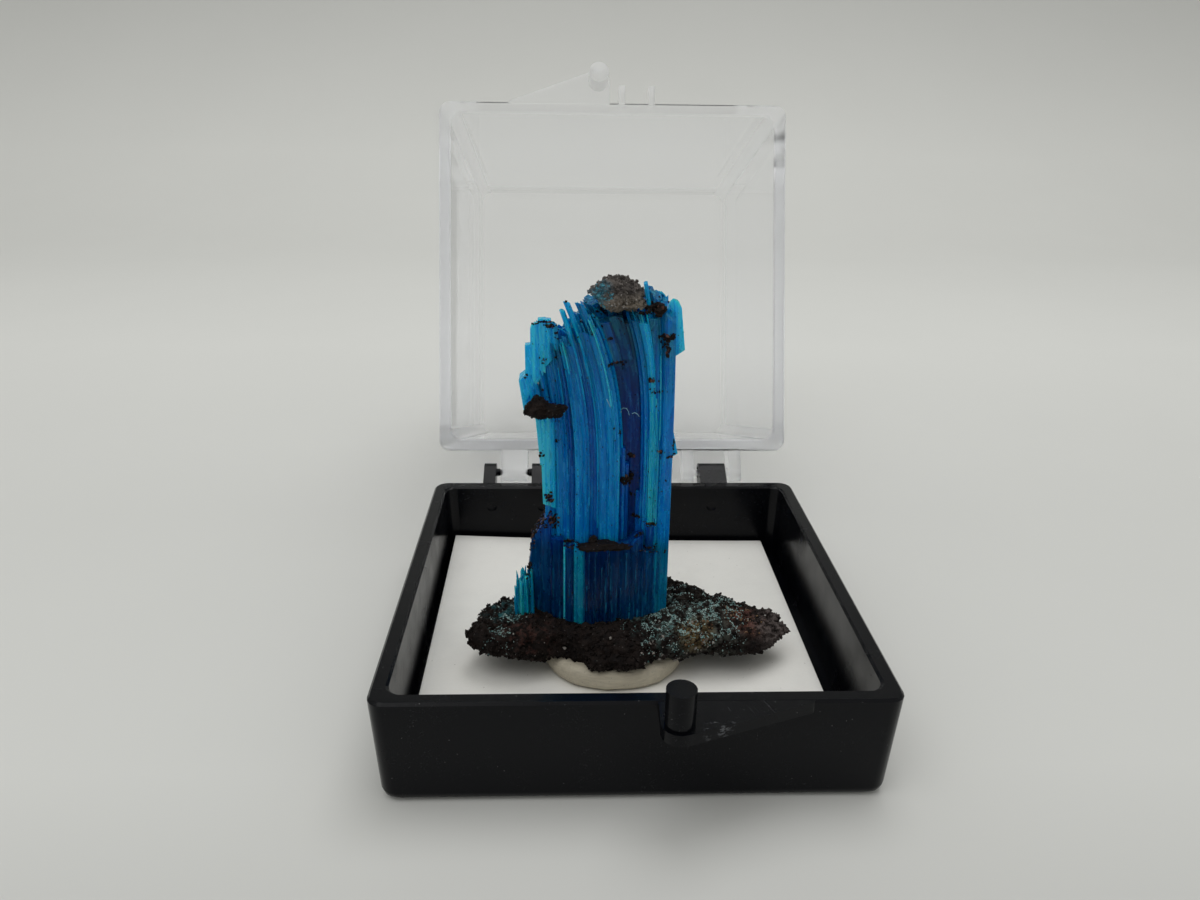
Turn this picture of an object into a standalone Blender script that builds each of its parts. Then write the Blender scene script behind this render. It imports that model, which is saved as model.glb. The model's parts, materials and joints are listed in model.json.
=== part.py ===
"""A chalcanthite specimen in its small hinged display box.

A bundle of blue crystal blades stands on a dark lump of matrix. The matrix is
pressed into a pad of putty on a white card, in the black tray of the box. The
clear lid is one moulding, hinged behind the tray and swung open.

Origin: centre of the tray's underside. +X is the viewer's right, +Y points to
the hinge and +Z is up. Lengths are in metres, written as millimetres times MM.
"""

import math
import random

import bmesh
import bpy
from mathutils import Matrix, Vector, noise

MM = 0.001

# Box
BOX_SIDE = 50.0 * MM
CORNER_RADIUS = 1.5 * MM
WALL = 1.7 * MM
EDGE_BREAK = 0.25 * MM
CLEARANCE = 0.3 * MM

TRAY_HEIGHT = 11.8 * MM
TRAY_DRAFT = 0.5 * MM
TRAY_FLOOR = 1.7 * MM
FOOT_RADIUS = 1.2 * MM

LID_DEPTH = 40.3 * MM
LID_TOP = 2.3 * MM
LID_DRAFT = 0.3 * MM
LID_INNER_DRAFT = 1.0 * MM
LID_SHOULDER = 0.6 * MM
LID_OPEN_ANGLE = math.radians(110.6)

# Hinge, behind the tray's back wall
HINGE_REACH = 3.1 * MM
HINGE_RISE = 0.2 * MM
HINGE_SIDE = 14.2 * MM
HINGE_HEAD = 1.3 * MM
HINGE_BLOCK = 3.8 * MM
HINGE_PRONG = 1.7 * MM
HINGE_PRONG_SPACING = 3.4 * MM
HINGE_NUB_RADIUS = 0.55 * MM
HINGE_NUB_LENGTH = 0.85 * MM
HINGE_ROOT = 4.2 * MM
HINGE_AXIS = Vector((0.0, BOX_SIDE / 2 + HINGE_REACH, TRAY_HEIGHT + HINGE_RISE))

# Thumb ledges and pegs on the two front walls
LEDGE_REACH = 4.7 * MM
LEDGE_LENGTH = 13.4 * MM
LEDGE_THICKNESS = 1.2 * MM
PEG_RADIUS = 1.4 * MM
PEG_HEIGHT = 3.7 * MM
TRAY_PEG_X = 3.4 * MM
LID_PEG_X = -2.2 * MM
CATCH_PRONG = 0.9 * MM
CATCH_REACH = 2.6 * MM
CATCH_HEIGHT = 3.0 * MM

# Card in the tray, shifted to the left, with its back left corner lifted
CARD_LEFT = -22.3 * MM
CARD_RIGHT = 21.0 * MM
CARD_FRONT = -22.3 * MM
CARD_BACK = 22.3 * MM
CARD_THICKNESS = 1.9 * MM
CARD_TOP = TRAY_FLOOR + CLEARANCE + CARD_THICKNESS
CARD_LIFT = 1.0 * MM
CARD_CELLS = 7

# Putty pad
PUTTY_CENTRE = Vector((-1.3 * MM, -5.0 * MM, 0.0))
PUTTY_RADIUS = 8.2 * MM
PUTTY_BOTTOM = CARD_TOP + CLEARANCE
PUTTY_HEIGHT = 1.6 * MM

# Matrix
MATRIX_BOTTOM = PUTTY_BOTTOM + PUTTY_HEIGHT + CLEARANCE
MATRIX_SEAT = 9.4 * MM
MATRIX_AROUND = 60
MATRIX_OUTLINE = [
    (-17.1, -7.4), (-16.0, -9.8), (-12.0, -10.8), (-8.4, -10.6), (-5.0, -11.6),
    (-2.0, -12.9), (1.4, -12.2), (5.0, -10.9), (9.5, -10.5), (13.4, -9.6),
    (16.4, -8.2), (18.6, -6.4), (16.4, -3.6), (12.0, -1.8), (8.0, 1.4),
    (3.0, 3.6), (-3.0, 3.8), (-8.0, 2.6), (-12.4, -1.2), (-16.0, -4.2),
]
MATRIX_TOP_LINE = [
    (-17.2, 8.4), (-15.0, 9.6), (-12.0, 9.8), (-9.0, 9.4), (4.8, 9.4),
    (7.0, 10.1), (10.0, 10.0), (13.0, 9.3), (16.0, 8.3), (18.8, 7.4),
]

# Crystal bundle
BUNDLE_FOOT = MATRIX_SEAT + CLEARANCE
BUNDLE_LEFT = -9.0 * MM
BUNDLE_RIGHT = 4.2 * MM
BUNDLE_FRONT = -5.9 * MM
BUNDLE_BACK = 1.8 * MM
BUNDLE_COLUMNS = 11
BUNDLE_ROWS = 5
LEAN_START = 24.0 * MM
LEAN_LENGTH = 20.0 * MM
LEAN_LEFT = 3.6 * MM
LEAN_RIGHT = 1.9 * MM
TOP_LINE = [
    (-11.4, 38.6), (-10.2, 42.3), (-7.6, 42.3), (-6.0, 43.4), (-3.8, 43.2),
    (1.0, 43.4), (2.4, 44.6), (3.4, 44.2), (6.0, 43.8),
]
BLADE_OVERLAP = 1.6
BLADE_LEVEL = 6.5 * MM
FRONT_DIP_COLUMNS = range(2, 6)
FRONT_STEP_TOP = 18.2 * MM
FRONT_STEP_RIGHT_RISE = 1.6 * MM
FRONT_STEP_DEPTH = 2.0 * MM
FRONT_STEP_BLADES = 6
FRONT_STEP_PITCH = 2.2 * MM
MIDDLE_WIDTH = 11.6 * MM
MIDDLE_DEPTH = 6.6 * MM
MIDDLE_TOP = 39.5 * MM
# Single blades that make the outline, in millimetres: x, y, width, depth, foot, tip
SINGLE_BLADES = [
    (-9.6, -3.6, 2.6, 5.2, 9.7, 17.6),
    (-8.9, -3.6, 1.9, 4.6, 9.7, 20.6),
    (-11.4, -4.6, 1.5, 2.2, 9.7, 12.9),
    (-10.8, -3.0, 1.2, 2.4, 9.7, 13.6),
    (-8.9, -3.4, 1.8, 4.4, 27.8, 39.6),
    (-10.0, -3.6, 1.6, 3.4, 34.0, 37.4),
    (4.9, -2.6, 1.7, 3.6, 27.6, 33.6),
    (5.6, -3.0, 1.9, 3.8, 33.8, 38.2),
    (6.3, -3.2, 2.6, 3.6, 39.3, 44.6),
    (5.0, -3.0, 2.4, 3.8, 36.5, 43.6),
    (3.6, -3.0, 1.4, 1.6, 40.0, 45.6),
    (-3.6, -4.6, 1.0, 1.3, 38.0, 43.9),
    (-2.2, -4.4, 1.0, 1.4, 38.0, 44.0),
    (-4.8, -4.2, 1.0, 1.4, 38.0, 43.6),
]
BLADE_SEED = 11
ROCK_SEED = 4

# Rock left on the crystals
CAP_CENTRE = Vector((-1.7, -3.4, 44.9)) * MM
CAP_HALF = Vector((2.6, 2.7, 1.75)) * MM
CHIP_OUTLINE = [
    (-10.9, 32.7), (-10.7, 33.7), (-9.5, 34.9), (-8.7, 34.6), (-8.1, 33.9),
    (-6.1, 33.7), (-7.0, 32.5), (-9.0, 32.3),
]
CHIP_BACK = -6.6 * MM
CHIP_THICKNESS = 1.5 * MM


def clear_scene():
    for obj in list(bpy.data.objects):
        bpy.data.objects.remove(obj, do_unlink=True)


def make_material(name, colour, roughness, metallic=0.0, alpha=1.0, transmission=0.0):
    material = bpy.data.materials.new(name)
    material.use_nodes = True
    shader = material.node_tree.nodes["Principled BSDF"]
    shader.inputs["Base Color"].default_value = (*colour, 1.0)
    shader.inputs["Roughness"].default_value = roughness
    shader.inputs["Metallic"].default_value = metallic
    shader.inputs["Alpha"].default_value = alpha
    shader.inputs["Transmission Weight"].default_value = transmission
    material.diffuse_color = (*colour, alpha)
    return material


def add_object(name, bm, material=None, parent=None, smooth_angle=None):
    """Turns a bmesh into a linked object with outward faces."""
    bmesh.ops.recalc_face_normals(bm, faces=bm.faces)
    mesh = bpy.data.meshes.new(name)
    bm.to_mesh(mesh)
    bm.free()
    if material:
        mesh.materials.append(material)
    if smooth_angle is not None:
        mesh.shade_smooth()
        mesh.set_sharp_from_angle(angle=math.radians(smooth_angle))
    obj = bpy.data.objects.new(name, mesh)
    obj.parent = parent
    bpy.context.scene.collection.objects.link(obj)
    return obj


def combine(target, tool, operation):
    """Adds a helper object to a piece, or cuts it away, and hides the helper."""
    tool.hide_render = True
    tool.display_type = "WIRE"
    modifier = target.modifiers.new(tool.name, "BOOLEAN")
    modifier.operation = operation
    modifier.object = tool
    return modifier


def along(line, x):
    """Height in metres at x on a line of (x, height) points given in millimetres."""
    x = x / MM
    if x <= line[0][0]:
        return line[0][1] * MM
    for (x0, z0), (x1, z1) in zip(line, line[1:]):
        if x <= x1:
            return (z0 + (z1 - z0) * (x - x0) / (x1 - x0)) * MM
    return line[-1][1] * MM


def rounded_square(side, radius, z, centre_y=0.0, steps=4):
    """Corner points of a square with round corners, anticlockwise from +X."""
    reach = side / 2 - radius
    ring = []
    for quarter in range(4):
        start = quarter * math.pi / 2
        middle = start + math.pi / 4
        corner = Vector((math.copysign(reach, math.cos(middle)), math.copysign(reach, math.sin(middle)), 0))
        for step in range(steps + 1):
            angle = start + step * math.pi / 2 / steps
            offset = Vector((math.cos(angle), math.sin(angle), 0)) * radius
            ring.append(corner + offset + Vector((0, centre_y, z)))
    return ring


def loft(bm, rings):
    """Skins a stack of equal rings and closes both ends."""
    loops = [[bm.verts.new(point) for point in ring] for ring in rings]
    for low, high in zip(loops, loops[1:]):
        for i in range(len(low)):
            j = (i + 1) % len(low)
            bm.faces.new((low[i], low[j], high[j], high[i]))
    bm.faces.new(loops[0])
    bm.faces.new(loops[-1])


def convex_outline(points):
    """Convex outline, anticlockwise, around a set of 2-D points."""
    points = sorted(set(points))

    def half(sequence):
        chain = []
        for point in sequence:
            while len(chain) > 1:
                (ax, ay), (bx, by) = chain[-2], chain[-1]
                if (bx - ax) * (point[1] - ay) - (by - ay) * (point[0] - ax) > 1e-12:
                    break
                chain.pop()
            chain.append(point)
        return chain[:-1]

    return half(points) + half(points[::-1])


def circle(centre, radius, count=16):
    turn = 2 * math.pi / count
    return [
        (centre[0] + radius * math.cos(i * turn), centre[1] + radius * math.sin(i * turn))
        for i in range(count)
    ]


def prism(name, outline, low, high, axis, parent=None):
    """Solid made by pushing a 2-D outline along X, Y or Z from low to high."""

    def place(point, distance):
        if axis == "X":
            return Vector((distance, point[0], point[1]))
        if axis == "Y":
            return Vector((point[0], distance, point[1]))
        return Vector((point[0], point[1], distance))

    bm = bmesh.new()
    loft(bm, [[place(point, distance) for point in outline] for distance in (low, high)])
    return add_object(name, bm, parent=parent)


def nub(name, x, direction, radius, length, centre, parent=None):
    """Blunt cone along X that turns in a dimple of the other hinge half."""
    bm = bmesh.new()
    rings = []
    for distance, scale in ((-0.3 * MM, 1.0), (0.4 * length, 1.0), (length, 0.55)):
        rings.append([
            Vector((x + direction * distance, y, z))
            for y, z in circle((centre[1], centre[2]), radius * scale, 12)
        ])
    loft(bm, rings)
    return add_object(name, bm, parent=parent)


def tray_shell(material):
    """Open square tray with draft, a rounded foot and broken rim edges."""
    rings = []
    inner_top = BOX_SIDE - 2 * WALL
    for step in range(4):
        angle = step * math.pi / 2 / 3
        inset = FOOT_RADIUS * (1 - math.sin(angle))
        rise = FOOT_RADIUS * (1 - math.cos(angle))
        side = BOX_SIDE - 2 * TRAY_DRAFT - 2 * inset
        rings.append(rounded_square(side, CORNER_RADIUS, rise))
    rings.append(rounded_square(BOX_SIDE, CORNER_RADIUS, TRAY_HEIGHT - EDGE_BREAK))
    rings.append(rounded_square(BOX_SIDE - 2 * EDGE_BREAK, CORNER_RADIUS, TRAY_HEIGHT))
    rings.append(rounded_square(inner_top + 2 * EDGE_BREAK, CORNER_RADIUS, TRAY_HEIGHT))
    rings.append(rounded_square(inner_top, CORNER_RADIUS, TRAY_HEIGHT - EDGE_BREAK))
    rings.append(rounded_square(inner_top - TRAY_DRAFT, CORNER_RADIUS, TRAY_FLOOR))
    bm = bmesh.new()
    loft(bm, rings)
    return add_object("tray", bm, material, smooth_angle=35)


def hinge_profile(centre, wall_y, root_low, root_high):
    """Side view of a hinge arm: a round head, drawn out to the wall it grows from."""
    head = circle((centre[1], centre[2]), HINGE_HEAD)
    root = [(wall_y, centre[2] + root_low), (wall_y, centre[2] + root_high)]
    return convex_outline(head + root)


def prong_pair(side, profile, centre, parent, label):
    """Two arms with nubs that face each other."""
    parts = []
    for sign, word in ((-1, "left"), (1, "right")):
        middle = side + sign * HINGE_PRONG_SPACING
        low, high = middle - HINGE_PRONG / 2, middle + HINGE_PRONG / 2
        parts.append(prism(f"{label}_prong_{word}", profile, low, high, "X", parent))
        inner = high if sign < 0 else low
        parts.append(
            nub(f"{label}_nub_{word}", inner, -sign, HINGE_NUB_RADIUS, HINGE_NUB_LENGTH, centre, parent)
        )
    return parts


def hinge_block(side, profile, centre, parent, label):
    """The middle knuckle, and the two dimples to cut in its cheeks."""
    half = HINGE_BLOCK / 2
    block = prism(f"{label}_block", profile, side - half, side + half, "X", parent)
    dimples = []
    depth = HINGE_NUB_LENGTH + CLEARANCE - (HINGE_PRONG_SPACING - HINGE_PRONG / 2 - half)
    for sign, word in ((-1, "left"), (1, "right")):
        bm = bmesh.new()
        edge = side + sign * half
        rings = []
        for distance in (-0.4 * MM, depth):
            rings.append([
                Vector((edge - sign * distance, y, z))
                for y, z in circle((centre[1], centre[2]), HINGE_NUB_RADIUS + CLEARANCE, 12)
            ])
        loft(bm, rings)
        dimples.append(add_object(f"{label}_dimple_{word}", bm, parent=parent))
    return block, dimples


def ledge_outline(peg_x, direction, wall_y):
    """Plan of a thumb ledge: a long ramp from the wall to a round tip at the peg."""
    tip = (peg_x, wall_y - LEDGE_REACH + PEG_RADIUS + 0.3 * MM)
    root = wall_y + 0.6 * MM
    ramp_start = (peg_x + direction * LEDGE_LENGTH, root)
    ramp_edge = (peg_x + direction * (LEDGE_LENGTH - 0.8 * MM), wall_y - 0.2 * MM)
    return tip, convex_outline(
        circle(tip, PEG_RADIUS + 0.3 * MM) + [ramp_start, ramp_edge, (peg_x - direction * 1.6 * MM, root)]
    )


def build_tray(material):
    tray = tray_shell(material)
    half = BOX_SIDE / 2
    root_y = half - 0.6 * MM
    arm = hinge_profile(HINGE_AXIS, root_y, -HINGE_ROOT, -HINGE_RISE - 0.3 * MM)
    for part in prong_pair(-HINGE_SIDE, arm, HINGE_AXIS, None, "tray_hinge"):
        combine(tray, part, "UNION")
    block, dimples = hinge_block(HINGE_SIDE, arm, HINGE_AXIS, None, "tray_hinge")
    combine(tray, block, "UNION")
    for dimple in dimples:
        combine(tray, dimple, "DIFFERENCE")
    tip, outline = ledge_outline(TRAY_PEG_X, 1, -half)
    top = TRAY_HEIGHT - 0.05 * MM
    combine(tray, prism("tray_ledge", outline, top - LEDGE_THICKNESS, top, "Z"), "UNION")
    peg = prism("tray_peg", circle(tip, PEG_RADIUS, 20), top - 0.6 * MM, top + PEG_HEIGHT, "Z")
    combine(tray, peg, "UNION")
    return tray


def lid_shell(material, hinge):
    """Deep open box, drawn closed and relative to the hinge axis."""
    centre_y = -HINGE_AXIS.y
    rim = TRAY_HEIGHT + CLEARANCE - HINGE_AXIS.z
    inner = BOX_SIDE - 2 * WALL
    top = LID_DEPTH + LID_TOP
    rings = [
        rounded_square(inner - 2 * LID_INNER_DRAFT, CORNER_RADIUS, rim + LID_DEPTH, centre_y),
        rounded_square(inner, CORNER_RADIUS, rim + EDGE_BREAK, centre_y),
        rounded_square(inner + 2 * EDGE_BREAK, CORNER_RADIUS, rim, centre_y),
        rounded_square(BOX_SIDE - 2 * EDGE_BREAK, CORNER_RADIUS, rim, centre_y),
        rounded_square(BOX_SIDE, CORNER_RADIUS, rim + EDGE_BREAK, centre_y),
    ]
    for step in range(4):
        angle = step * math.pi / 2 / 3
        inset = LID_SHOULDER * (1 - math.cos(angle))
        rise = LID_SHOULDER * math.sin(angle)
        side = BOX_SIDE - 2 * LID_DRAFT - 2 * inset
        rings.append(rounded_square(side, CORNER_RADIUS, rim + top - LID_SHOULDER + rise, centre_y))
    bm = bmesh.new()
    loft(bm, rings)
    return add_object("lid", bm, material, hinge, smooth_angle=35)


def build_lid(material):
    """The lid hangs on an empty at the hinge axis, which holds the open angle."""
    hinge = bpy.data.objects.new("lid_hinge_axis", None)
    hinge.location = HINGE_AXIS
    hinge.rotation_euler = (-LID_OPEN_ANGLE, 0, 0)
    bpy.context.scene.collection.objects.link(hinge)
    lid = lid_shell(material, hinge)
    centre = Vector((0, 0, 0))
    rim = TRAY_HEIGHT + CLEARANCE - HINGE_AXIS.z
    root_y = -HINGE_REACH - 0.6 * MM
    arm = hinge_profile(centre, root_y, rim + 0.2 * MM, HINGE_ROOT)
    for part in prong_pair(HINGE_SIDE, arm, centre, hinge, "lid_hinge"):
        combine(lid, part, "UNION")
    block, dimples = hinge_block(-HINGE_SIDE, arm, centre, hinge, "lid_hinge")
    combine(lid, block, "UNION")
    for dimple in dimples:
        combine(lid, dimple, "DIFFERENCE")
    wall_y = -BOX_SIDE - HINGE_REACH
    tip, outline = ledge_outline(LID_PEG_X, -1, wall_y)
    low = rim + 0.05 * MM
    combine(lid, prism("lid_ledge", outline, low, low + LEDGE_THICKNESS, "Z", hinge), "UNION")
    peg = prism("lid_peg", circle(tip, PEG_RADIUS, 20), low - PEG_HEIGHT, low + 0.6 * MM, "Z", hinge)
    combine(lid, peg, "UNION")
    for sign, word in ((-1, "left"), (1, "right")):
        middle = TRAY_PEG_X + sign * (PEG_RADIUS + CLEARANCE + CATCH_PRONG / 2)
        low_x, high_x = middle - CATCH_PRONG / 2, middle + CATCH_PRONG / 2
        side_view = [
            (wall_y + 0.6 * MM, low + 0.2 * MM),
            (wall_y + 0.6 * MM, low + CATCH_HEIGHT + 1.0 * MM),
            (wall_y - CATCH_REACH, low + CATCH_HEIGHT),
            (wall_y - CATCH_REACH, low + 0.2 * MM),
        ]
        combine(lid, prism(f"lid_catch_{word}", side_view, low_x, high_x, "X", hinge), "UNION")
    return lid


def build_card(material):
    """Thick white card, warped up at its back left corner."""
    bm = bmesh.new()

    def lift(u, v):
        return CARD_LIFT * max(0.0, v - u) ** 2

    layers = []
    for level in (CARD_TOP - CARD_THICKNESS, CARD_TOP):
        grid = []
        for i in range(CARD_CELLS + 1):
            u = i / CARD_CELLS
            column = []
            for j in range(CARD_CELLS + 1):
                v = j / CARD_CELLS
                x = CARD_LEFT + (CARD_RIGHT - CARD_LEFT) * u
                y = CARD_FRONT + (CARD_BACK - CARD_FRONT) * v
                column.append(bm.verts.new((x, y, level + lift(u, v))))
            grid.append(column)
        layers.append(grid)
    for grid in layers:
        for i in range(CARD_CELLS):
            for j in range(CARD_CELLS):
                bm.faces.new((grid[i][j], grid[i + 1][j], grid[i + 1][j + 1], grid[i][j + 1]))
    last = CARD_CELLS
    border = [(i, 0) for i in range(last)] + [(last, j) for j in range(last)]
    border += [(i, last) for i in range(last, 0, -1)] + [(0, j) for j in range(last, 0, -1)]
    low, high = layers
    for (i, j), (k, m) in zip(border, border[1:] + border[:1]):
        bm.faces.new((low[i][j], low[k][m], high[k][m], high[i][j]))
    return add_object("white_card", bm, material)


def build_putty(material):
    """Ball of putty pressed flat between the card and the matrix."""
    profile = [(0.93, 0.0), (0.98, 0.16), (1.0, 0.42), (0.98, 0.72), (0.9, 0.92), (0.72, 1.0)]
    around = 36
    rings = []
    for share, height in profile:
        ring = []
        for i in range(around):
            angle = 2 * math.pi * i / around
            uneven = 1 + 0.025 * math.sin(2 * angle + 0.6) + 0.012 * math.sin(5 * angle)
            reach = PUTTY_RADIUS * share * uneven
            z = PUTTY_BOTTOM + PUTTY_HEIGHT * height
            ring.append(PUTTY_CENTRE + Vector((reach * math.cos(angle), reach * math.sin(angle), z)))
        rings.append(ring)
    bm = bmesh.new()
    loft(bm, rings)
    return add_object("putty_pad", bm, material, smooth_angle=60)


def closed_curve(points, count):
    """Evenly stepped Catmull-Rom curve through a closed list of 2-D points."""
    curve = []
    total = len(points)
    for i in range(count):
        position = i * total / count
        k = int(position)
        t = position - k
        a, b, c, d = (Vector(points[(k + n) % total]) for n in (-1, 0, 1, 2))
        curve.append(
            0.5 * (2 * b + (c - a) * t + (2 * a - 5 * b + 4 * c - d) * t**2 + (3 * b - a - 3 * c + d) * t**3)
        )
    return curve


def rough(point, scale, amount, seed):
    """Smooth three-dimensional noise, in metres, that moves a point of rock."""
    return noise.noise_vector(point / scale + Vector((seed, 0, 0))) * amount


def build_matrix(material):
    """Lumpy slab with a flat seat for the crystals and a flat underside."""
    outline = closed_curve(MATRIX_OUTLINE, MATRIX_AROUND)
    centre = Vector((0.5, -4.2))
    layers = [(0.28, 0.0), (0.62, 0.0), (0.86, 0.0), (1.0, 0.32), (1.0, 0.66), (0.93, 0.9)]
    layers += [(0.76, 1.0), (0.56, 1.0), (0.3, 1.0)]
    rings = []
    for share, height in layers:
        ring = []
        for point in outline:
            place = centre + (point - centre) * share
            x, y = place.x * MM, place.y * MM
            top = along(MATRIX_TOP_LINE, x)
            z = MATRIX_BOTTOM + (top - MATRIX_BOTTOM) * height
            spot = Vector((x, y, z))
            spot += rough(spot, 4.0 * MM, 0.9 * MM, 3.0) + rough(spot, 1.5 * MM, 0.45 * MM, 9.0)
            on_seat = BUNDLE_LEFT - 5.5 * MM < x < BUNDLE_RIGHT + 3 * MM and y > -10.2 * MM
            if on_seat:
                spot.z = min(spot.z, MATRIX_SEAT)
            spot.z = max(spot.z, MATRIX_BOTTOM)
            ring.append(spot)
        rings.append(ring)
    bm = bmesh.new()
    loft(bm, rings)
    return add_object("matrix_rock", bm, material)


def lean(x, z):
    """How far the blades have bent to the left at height z."""
    rise = max(0.0, z - LEAN_START) / LEAN_LENGTH
    share = (x - BUNDLE_LEFT) / (BUNDLE_RIGHT - BUNDLE_LEFT)
    share = min(1.0, max(0.0, share))
    return -(LEAN_LEFT + (LEAN_RIGHT - LEAN_LEFT) * share) * rise**1.8


def add_blade(bm, rng, x, y, width, depth, low, high, taper=0.82, slant=0.7):
    """One flat-sided blade that follows the bend, with an oblique broken tip."""
    sides = [(-0.5, -0.32), (-0.12, -0.5), (0.42, -0.44), (0.5, 0.28), (0.1, 0.5), (-0.44, 0.4)]
    turn = Matrix.Rotation(rng.uniform(-0.22, 0.22), 2)
    section = [turn @ Vector((px * width, py * depth)) for px, py in sides]
    tip_x, tip_y = rng.uniform(-slant, slant), rng.uniform(-slant, slant)
    levels = max(2, round((high - low) / BLADE_LEVEL))
    rings = []
    for level in range(levels + 1):
        share = level / levels
        z = low + (high - low) * share
        scale = 1 + (taper - 1) * share
        ring = []
        for corner in section:
            drop = 0.0
            if level == levels:
                drop = (tip_x * corner.x / width + tip_y * corner.y / depth) * 1.6 * MM
            height = z + drop
            ring.append(Vector((x + corner.x * scale + lean(x, height), y + corner.y * scale, height)))
        rings.append(ring)
    loft(bm, rings)


def build_bundle(material):
    """All the blades as one solid: they grew together."""
    rng = random.Random(BLADE_SEED)
    bm = bmesh.new()
    pitch_x = (BUNDLE_RIGHT - BUNDLE_LEFT) / BUNDLE_COLUMNS
    pitch_y = (BUNDLE_BACK - BUNDLE_FRONT) / BUNDLE_ROWS
    for row in range(BUNDLE_ROWS):
        for column in range(BUNDLE_COLUMNS):
            end_column = column in (0, BUNDLE_COLUMNS - 1)
            if end_column and row == BUNDLE_ROWS - 1:
                continue
            x = BUNDLE_LEFT + pitch_x * (column + 0.5) + rng.uniform(-0.12, 0.12) * MM
            y = BUNDLE_FRONT + pitch_y * (row + 0.5) + rng.uniform(-0.2, 0.2) * MM
            low = BUNDLE_FOOT
            high = along(TOP_LINE, x + lean(x, 42 * MM)) - rng.uniform(0.0, 1.8) * MM
            if row == 0 and column in FRONT_DIP_COLUMNS:
                high -= rng.uniform(2.0, 4.0) * MM
            if row == BUNDLE_ROWS - 1:
                high -= rng.uniform(1.0, 4.0) * MM
            add_blade(bm, rng, x, y, pitch_x * BLADE_OVERLAP, pitch_y * BLADE_OVERLAP, low, high)
    # Thicker foot in front, which ends in a step
    for index in range(FRONT_STEP_BLADES):
        x = BUNDLE_LEFT + 1.0 * MM + FRONT_STEP_PITCH * index
        y = BUNDLE_FRONT - FRONT_STEP_DEPTH / 2 + 0.5 * MM + 0.2 * MM * math.cos(index)
        high = FRONT_STEP_TOP + rng.uniform(-0.3, 0.3) * MM
        if index >= FRONT_STEP_BLADES - 2:
            high += FRONT_STEP_RIGHT_RISE
        add_blade(bm, rng, x, y, 2.9 * MM, FRONT_STEP_DEPTH + 1.4 * MM, BUNDLE_FOOT, high, 0.97, 0.1)
    for x, y, width, depth, low, high in SINGLE_BLADES:
        add_blade(bm, rng, x * MM, y * MM, width * MM, depth * MM, low * MM, high * MM, 0.86, 0.5)
    bundle = add_object("crystal_bundle", bm, material)
    core = bmesh.new()
    middle_x = (BUNDLE_LEFT + BUNDLE_RIGHT) / 2
    middle_y = (BUNDLE_FRONT + BUNDLE_BACK) / 2 - 0.25 * MM
    foot = BUNDLE_FOOT + 0.1 * MM
    add_blade(core, rng, middle_x, middle_y, MIDDLE_WIDTH, MIDDLE_DEPTH, foot, MIDDLE_TOP, 0.94, 0.1)
    fused = combine(bundle, add_object("bundle_middle", core), "UNION")
    fused.use_self = True
    pocket = chip_solid("chip_pocket", 0.5 * MM)
    combine(bundle, pocket, "DIFFERENCE").use_self = True
    hollow = lump("cap_hollow", CAP_CENTRE, CAP_HALF + Vector((1, 1, 1)) * 0.45 * MM)
    combine(bundle, hollow, "DIFFERENCE")
    return bundle


def lump(name, centre, half, material=None, subdivisions=3):
    """Rounded lump of rock with a rough skin."""
    bm = bmesh.new()
    bmesh.ops.create_icosphere(bm, subdivisions=subdivisions, radius=1.0)
    for vert in bm.verts:
        vert.co = centre + Vector(a * b for a, b in zip(vert.co, half))
        vert.co += rough(vert.co, 1.3 * MM, 0.35 * MM, 5.0)
    return add_object(name, bm, material)


def chip_solid(name, margin, material=None):
    """Flake of dark rock that leans on the front of the bundle's left side."""
    middle = Vector((sum(p[0] for p in CHIP_OUTLINE), sum(p[1] for p in CHIP_OUTLINE)))
    middle /= len(CHIP_OUTLINE)
    back, front = CHIP_BACK + margin, CHIP_BACK - CHIP_THICKNESS - margin
    rings = []
    for depth, share in ((back, 1.0), (CHIP_BACK - 0.5 * CHIP_THICKNESS, 1.0), (front, 0.55)):
        ring = []
        for point in CHIP_OUTLINE:
            offset = (Vector(point) - middle) * MM
            place = middle * MM + offset * share + offset.normalized() * margin
            ring.append(Vector((place.x, depth, place.y)))
        rings.append(ring)
    bm = bmesh.new()
    loft(bm, rings)
    return add_object(name, bm, material)


def main():
    clear_scene()
    noise.seed_set(ROCK_SEED)
    black = make_material("black_plastic", (0.012, 0.012, 0.014), 0.22)
    clear = make_material("clear_plastic", (0.95, 0.97, 0.98), 0.04, alpha=0.3, transmission=1.0)
    white = make_material("white_card", (0.78, 0.77, 0.73), 0.85)
    putty = make_material("putty", (0.42, 0.41, 0.36), 0.75)
    rock = make_material("dark_rock", (0.025, 0.018, 0.016), 0.9)
    cap = make_material("brown_rock", (0.11, 0.09, 0.075), 0.9)
    blue = make_material("chalcanthite", (0.01, 0.19, 0.42), 0.3, alpha=0.9, transmission=0.5)
    build_tray(black)
    build_lid(clear)
    build_card(white)
    build_putty(putty)
    build_matrix(rock)
    build_bundle(blue)
    lump("rock_cap", CAP_CENTRE, CAP_HALF, cap)
    chip_solid("rock_chip", 0.0, rock)


main()
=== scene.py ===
"""Looks of a chalcanthite specimen in its small hinged display box.

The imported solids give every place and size. Here the box gets its moulded edges and
plastics, the bundle of blades its fibres, and the rocks, putty and card their surfaces.
Lengths are in metres, written as millimetres times MM.
"""

import json
import math
import random

import bmesh
import bpy
import numpy as np
from bpy.props import FloatProperty, FloatVectorProperty, IntProperty, PointerProperty
from mathutils import Euler, Matrix, Vector, noise
from mathutils.bvhtree import BVHTree

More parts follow.
